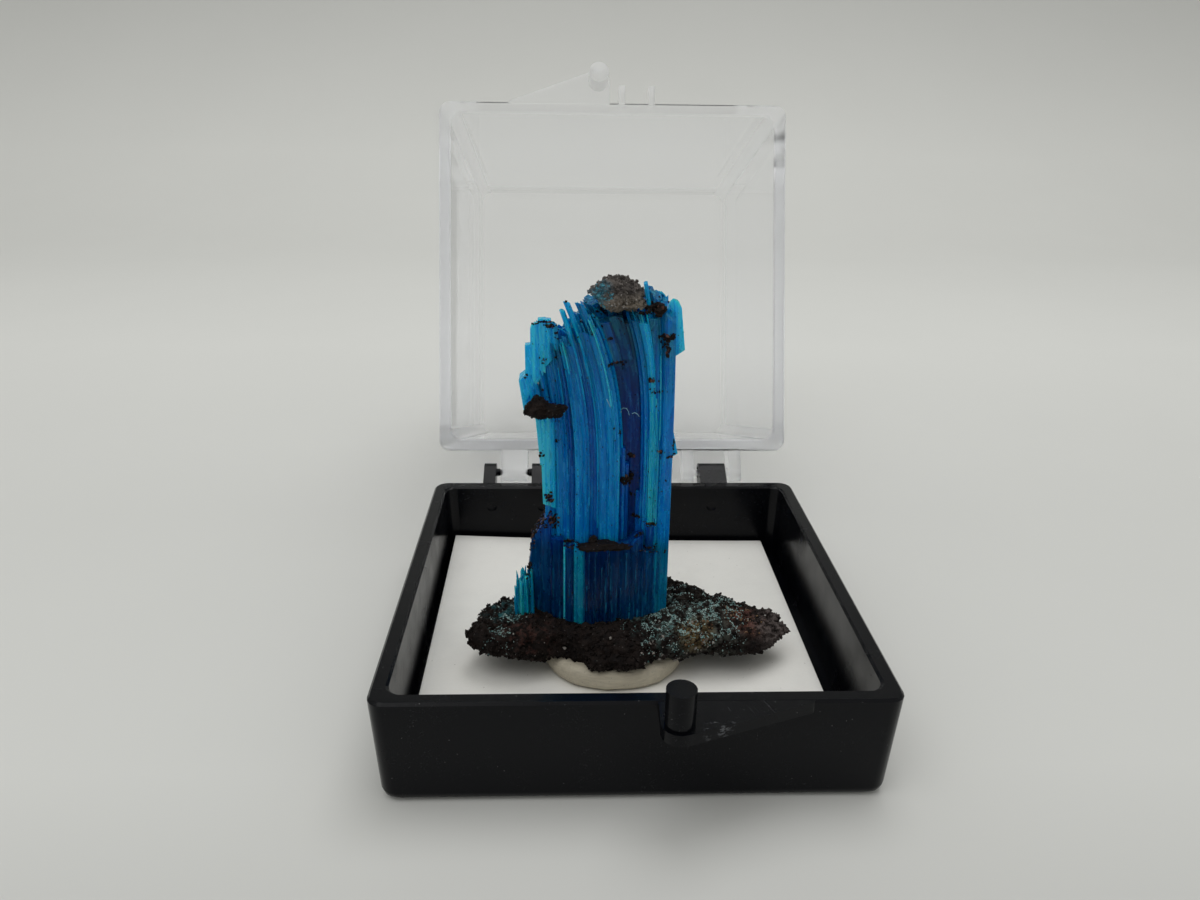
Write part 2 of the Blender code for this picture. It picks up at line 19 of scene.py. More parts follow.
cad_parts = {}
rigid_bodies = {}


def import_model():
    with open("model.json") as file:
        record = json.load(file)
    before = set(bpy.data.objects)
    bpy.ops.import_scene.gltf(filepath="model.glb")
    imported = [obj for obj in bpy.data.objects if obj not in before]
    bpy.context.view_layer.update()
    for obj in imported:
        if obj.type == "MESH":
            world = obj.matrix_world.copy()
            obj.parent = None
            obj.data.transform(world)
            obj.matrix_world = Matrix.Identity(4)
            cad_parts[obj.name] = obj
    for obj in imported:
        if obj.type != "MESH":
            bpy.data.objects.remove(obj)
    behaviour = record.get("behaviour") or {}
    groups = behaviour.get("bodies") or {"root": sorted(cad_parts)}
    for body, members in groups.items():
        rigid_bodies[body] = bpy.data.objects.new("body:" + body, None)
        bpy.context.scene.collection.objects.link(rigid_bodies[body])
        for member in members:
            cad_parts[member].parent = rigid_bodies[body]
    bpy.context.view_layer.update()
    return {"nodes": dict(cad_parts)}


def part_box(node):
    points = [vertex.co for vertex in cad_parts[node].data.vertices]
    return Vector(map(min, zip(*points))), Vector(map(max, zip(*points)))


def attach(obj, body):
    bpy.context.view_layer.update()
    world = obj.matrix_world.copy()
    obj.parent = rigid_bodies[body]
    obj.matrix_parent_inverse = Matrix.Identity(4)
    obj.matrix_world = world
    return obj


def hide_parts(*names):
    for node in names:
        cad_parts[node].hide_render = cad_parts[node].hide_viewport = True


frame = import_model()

bl_info = {
    "name": "Chalcanthite in a Display Box",
    "version": (1, 0, 0),
    "blender": (4, 5, 0),
    "location": "View3D > Sidebar > Chalcanthite",
    "description": "Builds the surfaces and fine parts of a boxed chalcanthite specimen",
    "category": "Object",
}

MM = 0.001
NOISE_SEED = 7

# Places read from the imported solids
TRAY_LOW, TRAY_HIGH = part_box("tray")
CARD_LOW, CARD_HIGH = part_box("white_card")
PUTTY_LOW, PUTTY_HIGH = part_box("putty_pad")
MATRIX_LOW, MATRIX_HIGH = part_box("matrix_rock")
BUNDLE_LOW, BUNDLE_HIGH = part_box("crystal_bundle")
CAP_LOW, CAP_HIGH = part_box("rock_cap")
CHIP_LOW, CHIP_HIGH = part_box("rock_chip")

# Crystal bundle, in millimetres: where its sides stand at half height
FOOT = BUNDLE_LOW.z / MM - 0.5
PLAN_LEFT, PLAN_RIGHT = -8.6, 4.1
PLAN_FRONT, PLAN_BACK = -5.9, 1.9
BEND_START, BEND_LENGTH = 24.0, 20.0
BEND = [  # x at half height, reach to the left at the top, power of the curve
    (-8.5, 1.7, 2.0), (-5.0, 2.9, 2.4), (-1.1, 3.5, 3.0), (0.8, 2.4, 3.6), (2.0, 2.1, 3.9), (3.3, 0.3, 3.5),
]
CREST = [  # x at the top, height of the tips
    (-11.2, 38.0), (-10.4, 39.6), (-9.8, 40.4), (-8.4, 40.4), (-7.9, 40.2), (-7.4, 40.9), (-6.8, 41.3),
    (-6.2, 42.2), (-5.5, 42.3), (-4.8, 43.1), (-3.0, 43.6), (0.6, 43.7), (1.6, 44.2), (3.2, 44.0), (4.0, 43.6),
]
STEP_TOP = 18.35
RECESS = (-1.2, 1.2)
STEP_LEFT, STEP_RIGHT, STEP_FRONT = -6.4, 0.6, -7.95

# Bands of the upper front, in millimetres: left, right, front face, foot, how far it ends below the crest (negative
# for a height), brightness from 0 to 1, its spread
UPPER_BANDS = [
    (-8.4, -7.6, -5.2, 9.2, 2.0, 0.66, 0.05),
    (-7.75, -7.0, -5.6, 9.2, 2.2, 0.54, 0.03),
    (-7.05, -6.3, -5.75, 9.2, 1.6, 0.44, 0.02),
    (-6.35, -5.7, -5.8, 9.2, 1.0, 0.30, 0.02),
    (-5.75, -4.9, -6.05, 9.2, 1.4, 0.56, 0.03),
    (-4.95, -4.28, -6.1, 9.2, 0.9, 0.50, 0.03),
    (-4.3, -3.85, -5.95, 9.2, 1.2, 0.34, 0.02),
    (-3.9, -3.2, -5.9, 9.2, 1.6, 0.30, 0.02),
    (-3.25, -2.3, -6.0, 9.2, 1.1, 0.50, 0.03),
    (-2.35, -1.6, -6.05, 9.2, 1.5, 0.58, 0.03),
    (-1.65, -1.1, -5.95, 9.2, 1.2, 0.55, 0.03),
    (-1.15, -0.5, -5.35, 9.2, -29.2, 0.36, 0.08),
    (-0.55, -0.1, -5.15, 9.2, -27.6, 0.30, 0.08),
    (-1.3, 1.3, -4.4, 9.2, 1.2, 0.05, 0.0),
    (-1.0, -0.1, -4.85, 38.1, 0.9, 0.18, 0.06),
    (-0.15, 0.8, -4.75, 38.4, 0.5, 0.13, 0.05),
    (0.75, 1.25, -4.9, 9.2, -24.0, 0.30, 0.05),
    (1.15, 1.5, -5.1, 9.2, 1.0, 0.34, 0.03),
    (1.45, 2.0, -5.35, 9.2, 0.8, 0.50, 0.04),
    (1.95, 2.5, -5.6, 9.2, 1.4, 0.76, 0.05),
    (1.85, 2.7, -5.8, 9.2, -20.3, 0.16, 0.03),
    (2.45, 3.05, -5.55, 9.2, 1.0, 0.52, 0.06),
    (3.0, 3.6, -5.35, 9.2, 1.2, 0.56, 0.06),
    (3.55, 4.15, -5.1, 9.2, 1.6, 0.74, 0.06),
]
# Bands of the thicker foot: left, right, front at the left, front at the right, tip at left and right, brightness,
# spread
LOWER_BANDS = [
    (-10.95, -10.4, -4.1, -4.7, 13.9, 17.6, 0.16, 0.03),
    (-10.5, -9.4, -4.6, -5.3, 18.0, 19.9, 0.13, 0.02),
    (-9.45, -8.3, -5.3, -5.9, 19.9, 21.9, 0.10, 0.02),
    (-8.3, -7.0, -6.1, -6.7, 18.9, 19.0, 0.09, 0.02),
    (-7.0, -6.78, -6.85, -6.95, 18.2, 18.3, 0.97, 0.02),
    (-6.8, -5.85, -7.0, -7.4, 18.2, 18.3, 0.10, 0.02),
    (-5.87, -4.68, -7.6, -7.8, 18.3, 18.3, 0.56, 0.05),
    (-4.7, -3.5, -7.9, -8.0, 18.3, 18.3, 0.02, 0.01),
    (-3.52, -2.1, -8.0, -7.9, 18.3, 18.3, 0.0, 0.01),
    (-2.12, -0.95, -7.85, -7.5, 18.3, 18.3, 0.05, 0.02),
    (-0.97, 0.3, -7.4, -7.0, 18.3, 18.6, 0.08, 0.03),
    (0.28, 1.55, -6.95, -6.5, 18.6, 19.6, 0.10, 0.03),
    (1.53, 2.8, -6.5, -6.0, 17.6, 17.0, 0.15, 0.03),
    (2.78, 4.4, -6.0, -5.2, 17.0, 16.9, 0.28, 0.06),
]
# Broad slabs at both sides: left and right at the foot, front, back, foot and tip each at left and right,
# brightness, rounding of the top, how far the left and right edges lean to the right
SIDE_SLABS = [
    (-10.25, -9.45, -5.8, -4.7, 35.7, 36.9, 42.3, 42.75, 0.90, 0.5, 0.0, 0.0),
    (-9.5, -8.75, -5.76, -4.7, 37.7, 37.2, 42.8, 42.85, 0.86, 0.1, 0.0, 0.0),
    (-8.8, -8.1, -5.84, -4.7, 37.9, 38.6, 42.8, 42.75, 0.80, 0.1, 0.0, -0.1),
    (-8.15, -7.45, -5.74, -4.7, 40.0, 39.3, 42.7, 42.4, 0.72, 0.4, -0.1, -0.2),
    (-10.8, -9.0, -5.72, -4.5, 34.2, 37.0, 40.15, 40.4, 0.88, 0.1, 0.0, 0.4),
    (-11.0, -9.9, -5.3, -2.8, 32.6, 32.8, 36.3, 37.0, 0.84, 0.0, -0.6, -0.7),
    # The next three slabs form the bright strip at the lower left. Their brightness is partly painted light, standing
    # for light that passes through them from behind.
    (-9.4, -8.2, -5.7, -1.6, 27.2, 27.2, 34.2, 34.2, 0.95, 0.2, -0.6, -0.3),
    (-9.15, -8.4, -5.8, -1.2, 22.8, 22.6, 34.0, 34.0, 0.93, 0.2, -0.3, 0.0),
    (-8.45, -7.75, -5.75, -1.2, 22.5, 22.3, 34.0, 34.0, 0.84, 0.2, -0.2, -0.2),
    (4.0, 5.3, -4.7, -3.1, 38.6, 39.4, 44.8, 44.5, 0.90, 0.8, -0.6, -0.65),
    (3.2, 4.25, -4.9, -1.7, 34.4, 34.0, 43.6, 43.6, 0.76, 0.3, -0.3, -0.1),
    (3.3, 4.15, -4.7, -1.5, 33.5, 33.7, 36.6, 36.2, 0.84, 0.1, 0.0, 0.25),
    (3.3, 5.05, -4.7, -1.7, 27.3, 28.1, 33.4, 33.4, 0.84, 0.1, 0.0, -1.15),
]
# Pale fibres of the right group: x, foot, tip
PALE_STREAKS = [
    (2.02, 20.4, 33.0), (2.22, 20.4, 38.0), (2.42, 20.3, 31.0), (2.62, 20.0, 34.5), (2.9, 20.2, 29.0),
    (1.6, 24.0, 31.0), (2.12, 20.5, 35.0), (2.32, 20.3, 33.0), (2.78, 21.0, 32.0), (1.85, 21.0, 30.0),
    (3.2, 22.0, 36.0), (3.5, 18.0, 30.0), (3.8, 19.0, 28.0), (3.0, 30.0, 39.0), (-8.9, 24.0, 32.5), (-8.7, 27.0, 33.0),
    (-8.45, 25.0, 31.0), (-0.9, 20.5, 27.5), (-0.7, 21.0, 28.5), (-0.4, 21.5, 26.8),
]
# Single blades that make the outline: x, y, width, depth, foot, tip, brightness, how far its tip leans right
# (None where it bends with the bundle)
OUTLINE_BLADES = [
    (-9.4, -5.2, 0.9, 1.4, 32.2, 36.9, 0.78, -1.3),
    (-8.8, -5.3, 0.7, 1.2, 32.0, 37.2, 0.62, -1.4),
    (-8.2, -5.3, 0.6, 1.1, 32.0, 37.6, 0.5, -1.2),
    (-7.6, -5.2, 0.6, 1.1, 32.0, 38.0, 0.46, -1.0),
    (-4.25, -5.5, 0.6, 1.0, 37.0, 43.6, 0.86, None),
    (-3.35, -5.5, 0.7, 1.0, 37.0, 44.4, 0.78, None),
    (-2.85, -5.3, 0.5, 1.0, 37.0, 43.3, 0.58, None),
    (-1.95, -5.4, 0.9, 1.0, 37.0, 44.2, 0.60, None),
    (2.6, -4.6, 0.55, 0.9, 38.0, 46.2, 0.72, -1.5),
    (2.7, -4.2, 1.3, 1.6, 38.0, 44.9, 0.46, -0.4),
]


class BoxSettings(bpy.types.PropertyGroup):
    edge_radius: FloatProperty(
        name="Edge Radius", description="Rounding of the moulded edges", default=0.1 * MM, unit="LENGTH")
    # The blue cast of the tray colour is a painted reflection. It stands for the bluish sheen of the glossy black
    # plastic.
    tray_colour: FloatVectorProperty(
        name="Tray Colour", description="Black plastic of the tray", subtype="COLOR", default=(0.0016, 0.0019, 0.0032))
    tray_roughness: FloatProperty(
        name="Tray Roughness", description="Polish of the black plastic", default=0.2, min=0.0, max=1.0)
    lid_colour: FloatVectorProperty(
        name="Lid Tint", description="Faint tint of the clear plastic", subtype="COLOR", default=(0.99, 0.992, 1.0))
    lid_index: FloatProperty(
        name="Lid Index", description="Index of refraction of the clear plastic, low so that walls seen edge-on stay clear", default=1.045, min=1.0, max=2.0)
    card_colour: FloatVectorProperty(
        name="Card Colour", description="Face of the card", subtype="COLOR", default=(0.86, 0.85, 0.81))
    putty_colour: FloatVectorProperty(
        name="Putty Colour", description="Grey-beige putty", subtype="COLOR", default=(0.44, 0.40, 0.315))


class SpecimenSettings(bpy.types.PropertyGroup):
    inner_blades: IntProperty(
        name="Inner Blades", description="Blades inside the bundle, seen at its top and back", default=240, min=40)
    fibre_count: IntProperty(
        name="Fibres", description="Fine fibres on the bundle's skin", default=420, min=100)
    crystal_index: FloatProperty(
        name="Crystal Index", description="Index of refraction of chalcanthite", default=1.53, min=1.0, max=2.0)
    crystal_clearness: FloatProperty(
        name="Clearness", description="Share of light that enters the crystal", default=0.3, min=0.0, max=1.0)
    absorption: FloatProperty(
        name="Absorption", description="How fast the crystal takes red light, per metre", default=900.0, min=0.0)
    absorption_colour: FloatVectorProperty(
        name="Absorption Colour", description="Light that passes the crystal", subtype="COLOR",
        default=(0.0, 0.78, 0.91))
    rock_colour: FloatVectorProperty(
        name="Rock Colour", description="Black-brown matrix", subtype="COLOR", default=(0.0045, 0.0035, 0.0035))
    rock_voxel: FloatProperty(
        name="Rock Detail", description="Cell size of the matrix's skin", default=0.2 * MM, unit="LENGTH")
    grain_count: IntProperty(
        name="Grains", description="Loose grains on the matrix", default=5200, min=0)


class StageSettings(bpy.types.PropertyGroup):
    floor_colour: FloatVectorProperty(
        name="Floor Colour", description="Pale floor and backdrop", subtype="COLOR", default=(0.68, 0.685, 0.665))
    key_power: FloatProperty(
        name="Key Light", description="Soft light above the front", default=0.42, min=0.0, unit="POWER")
    fill_power: FloatProperty(
        name="Back Light", description="Soft light above the object", default=0.74, min=0.0, unit="POWER")
    sky: FloatProperty(
        name="Surrounding Light", description="Light from all sides", default=0.54, min=0.0)
    lens: FloatProperty(
        name="Lens", description="Focal length on a 36 mm wide sensor, in millimetres", default=27.71, min=1.0)


def new_object(name, mesh, *materials):
    piece = bpy.data.objects.new(name, mesh)
    for material in materials:
        mesh.materials.append(material)
    bpy.context.scene.collection.objects.link(piece)
    return piece


def from_bmesh(name, bm, recalculate=True):
    if recalculate:
        bmesh.ops.recalc_face_normals(bm, faces=bm.faces)
    mesh = bpy.data.meshes.new(name)
    bm.to_mesh(mesh)
    bm.free()
    return mesh


def applied(piece):
    """Bakes a piece's modifiers into its mesh."""
    graph = bpy.context.evaluated_depsgraph_get()
    mesh = bpy.data.meshes.new_from_object(piece.evaluated_get(graph))
    old = piece.data
    piece.modifiers.clear()
    piece.data = mesh
    bpy.data.meshes.remove(old)
    mesh.name = piece.name
    return piece


def smooth(mesh, angle):
    mesh.shade_smooth()
    mesh.set_sharp_from_angle(angle=math.radians(angle))


def solid_copy(node):
    """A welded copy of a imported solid, with its flat faces whole again."""
    bm = bmesh.new()
    bm.from_mesh(frame["nodes"][node].data)
    bmesh.ops.remove_doubles(bm, verts=bm.verts, dist=0.002 * MM)
    bmesh.ops.dissolve_limit(
        bm, angle_limit=math.radians(0.6), verts=bm.verts, edges=bm.edges, delimit={"NORMAL"})
    return bm


def finish_piece(piece, body, slot, *nodes):
    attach(piece, body)
    if nodes:
        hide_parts(*nodes)
    return piece


def along(line, x):
    """Value at x on a line of points, held level past its ends."""
    xs = [point[0] for point in line]
    return float(np.interp(x, xs, [point[1] for point in line]))


def node(tree, kind, inputs=None, **settings):
    """Adds a shader node. An input is a value or the socket that feeds it."""
    made = tree.nodes.new(kind)
    for key, value in settings.items():
        setattr(made, key, value)
    for key, value in (inputs or {}).items():
        if isinstance(value, bpy.types.NodeSocket):
            tree.links.new(value, made.inputs[key])
        else:
            made.inputs[key].default_value = value
    return made


def maths(tree, operation, *values):
    return node(tree, "ShaderNodeMath", dict(enumerate(values)), operation=operation).outputs[0]


def stretched(tree, vector, scale):
    return node(
        tree, "ShaderNodeVectorMath", {0: vector, 1: scale}, operation="MULTIPLY").outputs["Vector"]


def noise_value(tree, vector, scale, detail=3.0, rough=0.55, distortion=0.0):
    found = node(tree, "ShaderNodeTexNoise", {
        "Vector": vector, "Scale": scale, "Detail": detail, "Roughness": rough, "Distortion": distortion})
    return found.outputs["Fac"]


def between(tree, value, low, high, to_low=0.0, to_high=1.0):
    found = node(tree, "ShaderNodeMapRange", {
        "Value": value, "From Min": low, "From Max": high, "To Min": to_low, "To Max": to_high})
    return found.outputs["Result"]


def mix(tree, factor, first, second, blend="MIX"):
    made = node(tree, "ShaderNodeMix", data_type="RGBA", blend_type=blend)
    for socket, value in ((made.inputs[0], factor), (made.inputs[6], first), (made.inputs[7], second)):
        if isinstance(value, bpy.types.NodeSocket):
            tree.links.new(value, socket)
        elif isinstance(value, (int, float)):
            socket.default_value = value
        else:
            socket.default_value = (*value, 1.0)
    return made.outputs[2]


def ramp(tree, value, stops):
    made = node(tree, "ShaderNodeValToRGB", {"Fac": value})
    elements = made.color_ramp.elements
    while len(elements) < len(stops):
        elements.new(0.5)
    for element, (place, colour) in zip(elements, stops):
        element.position = place
        element.color = (*colour, 1.0)
    return made.outputs["Color"]


def place_on(tree):
    """The piece's own coordinates, in millimetres."""
    spot = node(tree, "ShaderNodeTexCoord").outputs["Object"]
    return stretched(tree, spot, (1 / MM, 1 / MM, 1 / MM))


def near(tree, vector, centre, radius):
    """1 close to a point and 0 past the radius, both in millimetres."""
    away = node(tree, "ShaderNodeVectorMath", {0: vector, 1: centre}, operation="DISTANCE")
    return between(tree, away.outputs["Value"], radius, 0.35 * radius)


def effect_group(name, inputs, outputs):
    """An empty node group with its sockets, its tree, and its input and output nodes."""
    group = bpy.data.node_groups.new(name, "ShaderNodeTree")
    for label, kind, value in inputs:
        socket = group.interface.new_socket(label, in_out="INPUT", socket_type=kind)
        if value is not None:
            socket.default_value = value
    for label, kind in outputs:
        group.interface.new_socket(label, in_out="OUTPUT", socket_type=kind)
    return group, group.nodes.new("NodeGroupInput"), group.nodes.new("NodeGroupOutput")


def specks_group():
    """Scattered specks of dirt or dust, dense where a slow noise is high."""
    group, given, result = effect_group(
        "Specks",
        [("Vector", "NodeSocketVector", None), ("Scale", "NodeSocketFloat", 3.0),
         ("Size", "NodeSocketFloat", 0.18), ("Coverage", "NodeSocketFloat", 0.5)],
        [("Mask", "NodeSocketFloat")],
    )
    warped = node(group, "ShaderNodeTexNoise", {"Vector": given.outputs["Vector"], "Scale": 4.0, "Detail": 2.0})
    moved = node(group, "ShaderNodeVectorMath", {
        0: warped.outputs["Color"], 1: (0.12, 0.12, 0.12), 2: given.outputs["Vector"]}, operation="MULTIPLY_ADD")
    cells = node(group, "ShaderNodeTexVoronoi", {"Vector": moved.outputs[0], "Scale": given.outputs["Scale"]})
    dot = maths(group, "LESS_THAN", cells.outputs["Distance"], given.outputs["Size"])
    chance = node(group, "ShaderNodeSeparateColor", {"Color": cells.outputs["Color"]}).outputs["Red"]
    patches = noise_value(group, given.outputs["Vector"], 0.35, 2.0)
    kept = maths(group, "LESS_THAN", chance, maths(group, "MULTIPLY", given.outputs["Coverage"], patches))
    group.links.new(maths(group, "MULTIPLY", dot, kept), result.inputs["Mask"])
    return group


def scratches_group():
    """Fine straight hairlines in two directions, gathered in patches."""
    group, given, result = effect_group(
        "Scratches",
        [("Vector", "NodeSocketVector", None), ("Scale", "NodeSocketFloat", 1.0),
         ("Amount", "NodeSocketFloat", 0.5)],
        [("Mask", "NodeSocketFloat")],
    )
    lines = []
    for turn, stretch in (((0.5, 0.3, 0.7), (0.12, 5.0, 5.0)), ((-0.4, 0.8, -0.5), (5.0, 0.15, 5.0))):
        turned = node(group, "ShaderNodeMapping", {"Vector": given.outputs["Vector"], "Rotation": turn})
        drawn = stretched(group, turned.outputs["Vector"], stretch)
        found = noise_value(group, drawn, given.outputs["Scale"], 2.0, 0.6)
        lines.append(between(group, found, 0.665, 0.72))
    both = maths(group, "MAXIMUM", *lines)
    patches = between(group, noise_value(group, given.outputs["Vector"], 0.16, 2.0), 0.42, 0.62)
    strength = maths(group, "MULTIPLY", both, maths(group, "MULTIPLY", patches, given.outputs["Amount"]))
    group.links.new(strength, result.inputs["Mask"])
    return group


def grain_group():
    """Two sizes of grain: a colour mask and a height for bumps."""
    group, given, result = effect_group(
        "Grain",
        [("Vector", "NodeSocketVector", None), ("Scale", "NodeSocketFloat", 2.0),
         ("Sharpness", "NodeSocketFloat", 0.5)],
        [("Mask", "NodeSocketFloat"), ("Height", "NodeSocketFloat")],
    )
    coarse = noise_value(group, given.outputs["Vector"], given.outputs["Scale"], 6.0, 0.62)
    fine_scale = maths(group, "MULTIPLY", given.outputs["Scale"], 4.5)
    cells = node(group, "ShaderNodeTexVoronoi", {"Vector": given.outputs["Vector"], "Scale": fine_scale})
    crumb = maths(group, "MULTIPLY", cells.outputs["Distance"], given.outputs["Sharpness"])
    group.links.new(maths(group, "SUBTRACT", coarse, crumb), result.inputs["Height"])
    group.links.new(between(group, coarse, 0.32, 0.68), result.inputs["Mask"])
    return group


def effect(tree, name, maker, **inputs):
    """Places a shared effect in a material, building its group the first time."""
    group = bpy.data.node_groups.get(name) or maker()
    made = tree.nodes.new("ShaderNodeGroup")
    made.node_tree = group
    for key, value in inputs.items():
        if isinstance(value, bpy.types.NodeSocket):
            tree.links.new(value, made.inputs[key])
        else:
            made.inputs[key].default_value = value
    return made


def bump(tree, height, strength, distance, normal=None):
    inputs = {"Height": height, "Strength": strength, "Distance": distance}
    if normal is not None:
        inputs["Normal"] = normal
    return node(tree, "ShaderNodeBump", inputs).outputs["Normal"]


def new_material(name, colour, **plain):
    """A material whose Principled shader is ready; plain holds values set on its own sockets."""
    material = bpy.data.materials.new(name)
    material.use_nodes = True
    material.diffuse_color = (*colour, 1.0)
    tree = material.node_tree
    shader = tree.nodes["Principled BSDF"]
    shader.inputs["Base Color"].default_value = (*colour, 1.0)
    for key, value in plain.items():
        shader.inputs[key.replace("_", " ")].default_value = value
    return material, tree, shader


def black_plastic(settings):
    """Glossy moulded black with hairlines, a little dust, and a paler rough patch at the ledge's tip that is partly a
    scuff and partly a painted highlight.
    """
    material, tree, shader = new_material("moulded_black", settings.tray_colour, IOR=1.5, Specular_IOR_Level=0.16)
    spot = place_on(tree)
    lines = effect(tree, "Scratches", scratches_group, Vector=spot, Scale=1.1, Amount=0.55).outputs["Mask"]
    dust = effect(tree, "Specks", specks_group, Vector=spot, Scale=1.6, Size=0.07, Coverage=0.35).outputs["Mask"]
    cloud = noise_value(tree, spot, 0.25, 4.0)
    # The streaky patch at the ledge's tip is partly a scuff and partly a painted highlight. worn holds it together with
    # the real hairline scratches, and both are painted paler and made rougher.
    scuff_highlight_lines = noise_value(tree, stretched(tree, spot, (0.6, 1.5, 1.6)), 1.5, 4.0, 0.7)
    scuff_and_highlight = maths(tree, "MULTIPLY", near(tree, spot, SCUFF_HIGHLIGHT_CENTRE, 1.9), between(tree, scuff_highlight_lines, 0.52, 0.62))
    worn = maths(tree, "MAXIMUM", maths(tree, "MULTIPLY", lines, 0.35), scuff_and_highlight)
    colour = mix(tree, worn, settings.tray_colour, (0.11, 0.115, 0.125))
    colour = mix(tree, maths(tree, "MULTIPLY", dust, 0.5), colour, (0.2, 0.2, 0.2))
    tree.links.new(colour, shader.inputs["Base Color"])
    polish = between(tree, cloud, 0.3, 0.7, settings.tray_roughness - 0.04, settings.tray_roughness + 0.1)
    rough = maths(tree, "ADD", polish, maths(tree, "MULTIPLY", worn, 0.3))
    tree.links.new(rough, shader.inputs["Roughness"])
    waves = noise_value(tree, spot, 0.5, 2.0)
    height = maths(tree, "ADD", waves, maths(tree, "MULTIPLY", worn, -0.25))
    tree.links.new(bump(tree, height, 0.25, 0.05 * MM), shader.inputs["Normal"])
    return material


def clear_plastic(settings):
    """Clear polystyrene with faint hairlines and a haze of handling."""
    material, tree, shader = new_material(
        "moulded_clear", settings.lid_colour, IOR=settings.lid_index, Transmission_Weight=0.97,
        Specular_IOR_Level=0.35, Coat_Weight=0.4, Coat_Roughness=0.05)
    spot = place_on(tree)
    lines = effect(tree, "Scratches", scratches_group, Vector=spot, Scale=0.9, Amount=0.5).outputs["Mask"]
    smudge = between(tree, noise_value(tree, spot, 0.12, 5.0, 0.6), 0.5, 0.8, 0.0, 0.05)
    narrow = node(tree, "ShaderNodeAttribute", attribute_name="narrow").outputs["Fac"]
    rough = maths(tree, "ADD", smudge, maths(tree, "MULTIPLY", lines, 0.16))
    rough = maths(tree, "ADD", rough, between(tree, narrow, 0.0, 1.0, WALL_HAZE, RIM_HAZE))
    tree.links.new(rough, shader.inputs["Roughness"])
    waves = noise_value(tree, spot, 0.14, 2.0)
    height = maths(tree, "ADD", waves, maths(tree, "MULTIPLY", lines, -0.05))
    tree.links.new(bump(tree, height, 0.04, 0.1 * MM), shader.inputs["Normal"])
    depth = node(tree, "ShaderNodeVolumeAbsorption", {"Color": (0.1, 0.2, 0.9, 1.0), "Density": 1.4})
    tree.links.new(depth.outputs["Volume"], tree.nodes["Material Output"].inputs["Volume"])
    return material


def card_board(settings):
    """Off-white board with paper fibres and faint stains."""
    material, tree, shader = new_material("paper_board", settings.card_colour, Roughness=0.85)
    spot = place_on(tree)
    fibres = noise_value(tree, stretched(tree, spot, (2.0, 9.0, 9.0)), 1.4, 5.0, 0.65, 0.6)
    cloud = noise_value(tree, spot, 0.12, 4.0, 0.6)
    specks = effect(tree, "Specks", specks_group, Vector=spot, Scale=1.1, Size=0.07, Coverage=0.5).outputs["Mask"]
    dark = tuple(0.86 * channel for channel in settings.card_colour)
    colour = mix(tree, between(tree, fibres, 0.35, 0.7, 0.0, 0.35), settings.card_colour, dark)
    colour = mix(tree, between(tree, cloud, 0.45, 0.8, 0.0, 0.4), colour, tuple(0.9 * c for c in dark))
    colour = mix(tree, maths(tree, "MULTIPLY", specks, 0.55), colour, (0.2, 0.17, 0.13))
    tree.links.new(colour, shader.inputs["Base Color"])
    tree.links.new(bump(tree, fibres, 0.35, 0.04 * MM), shader.inputs["Normal"])
    return material


def putty_stuff(settings):
    """Matt putty with wipe marks and fine pits."""
    material, tree, shader = new_material("soft_putty", settings.putty_colour, Roughness=0.7)
    spot = place_on(tree)
    wiped = noise_value(tree, stretched(tree, spot, (0.5, 2.4, 4.0)), 1.3, 6.0, 0.6, 0.4)
    pits = effect(tree, "Specks", specks_group, Vector=spot, Scale=3.2, Size=0.16, Coverage=0.75).outputs["Mask"]
    grain = effect(tree, "Grain", grain_group, Vector=spot, Scale=1.8, Sharpness=0.3)
    pale = tuple(1.3 * channel for channel in settings.putty_colour)
    colour = mix(tree, between(tree, wiped, 0.3, 0.7), settings.putty_colour, pale)
    colour = mix(tree, maths(tree, "MULTIPLY", pits, 0.5), colour, (0.10, 0.095, 0.08))
    tree.links.new(colour, shader.inputs["Base Color"])
    height = maths(tree, "ADD", grain.outputs["Height"], maths(tree, "MULTIPLY", wiped, 0.8))
    height = maths(tree, "SUBTRACT", height, maths(tree, "MULTIPLY", pits, 0.4))
    tree.links.new(bump(tree, height, 0.5, 0.12 * MM), shader.inputs["Normal"])
    return material


def dark_rock(settings):
    """Black-brown crust: rusty and ochre patches to the right, dusted with turquoise."""
    material, tree, shader = new_material("crusty_rock", settings.rock_colour, Roughness=0.8, Specular_IOR_Level=0.12)
    spot = place_on(tree)
    grain = effect(tree, "Grain", grain_group, Vector=spot, Scale=1.3, Sharpness=0.7)
    colour = mix(tree, grain.outputs["Mask"], settings.rock_colour, (0.018, 0.012, 0.010))
    patchy = noise_value(tree, spot, 1.1, 6.0, 0.65)
    for centre, radius, tone, low, high in ROCK_PATCHES:
        mask = maths(tree, "MULTIPLY", near(tree, spot, centre, radius), between(tree, patchy, low, high))
        colour = mix(tree, mask, colour, tone)
    glint = effect(tree, "Specks", specks_group, Vector=spot, Scale=2.6, Size=0.2, Coverage=0.7).outputs["Mask"]
    colour = mix(tree, maths(tree, "MULTIPLY", glint, 0.5), colour, (0.09, 0.08, 0.078))
    tree.links.new(colour, shader.inputs["Base Color"])
    rough = maths(tree, "SUBTRACT", between(tree, patchy, 0.3, 0.7, 0.9, 0.55), maths(tree, "MULTIPLY", glint, 0.35))
    tree.links.new(rough, shader.inputs["Roughness"])
    tree.links.new(bump(tree, grain.outputs["Height"], 0.8, 0.14 * MM), shader.inputs["Normal"])
    return material


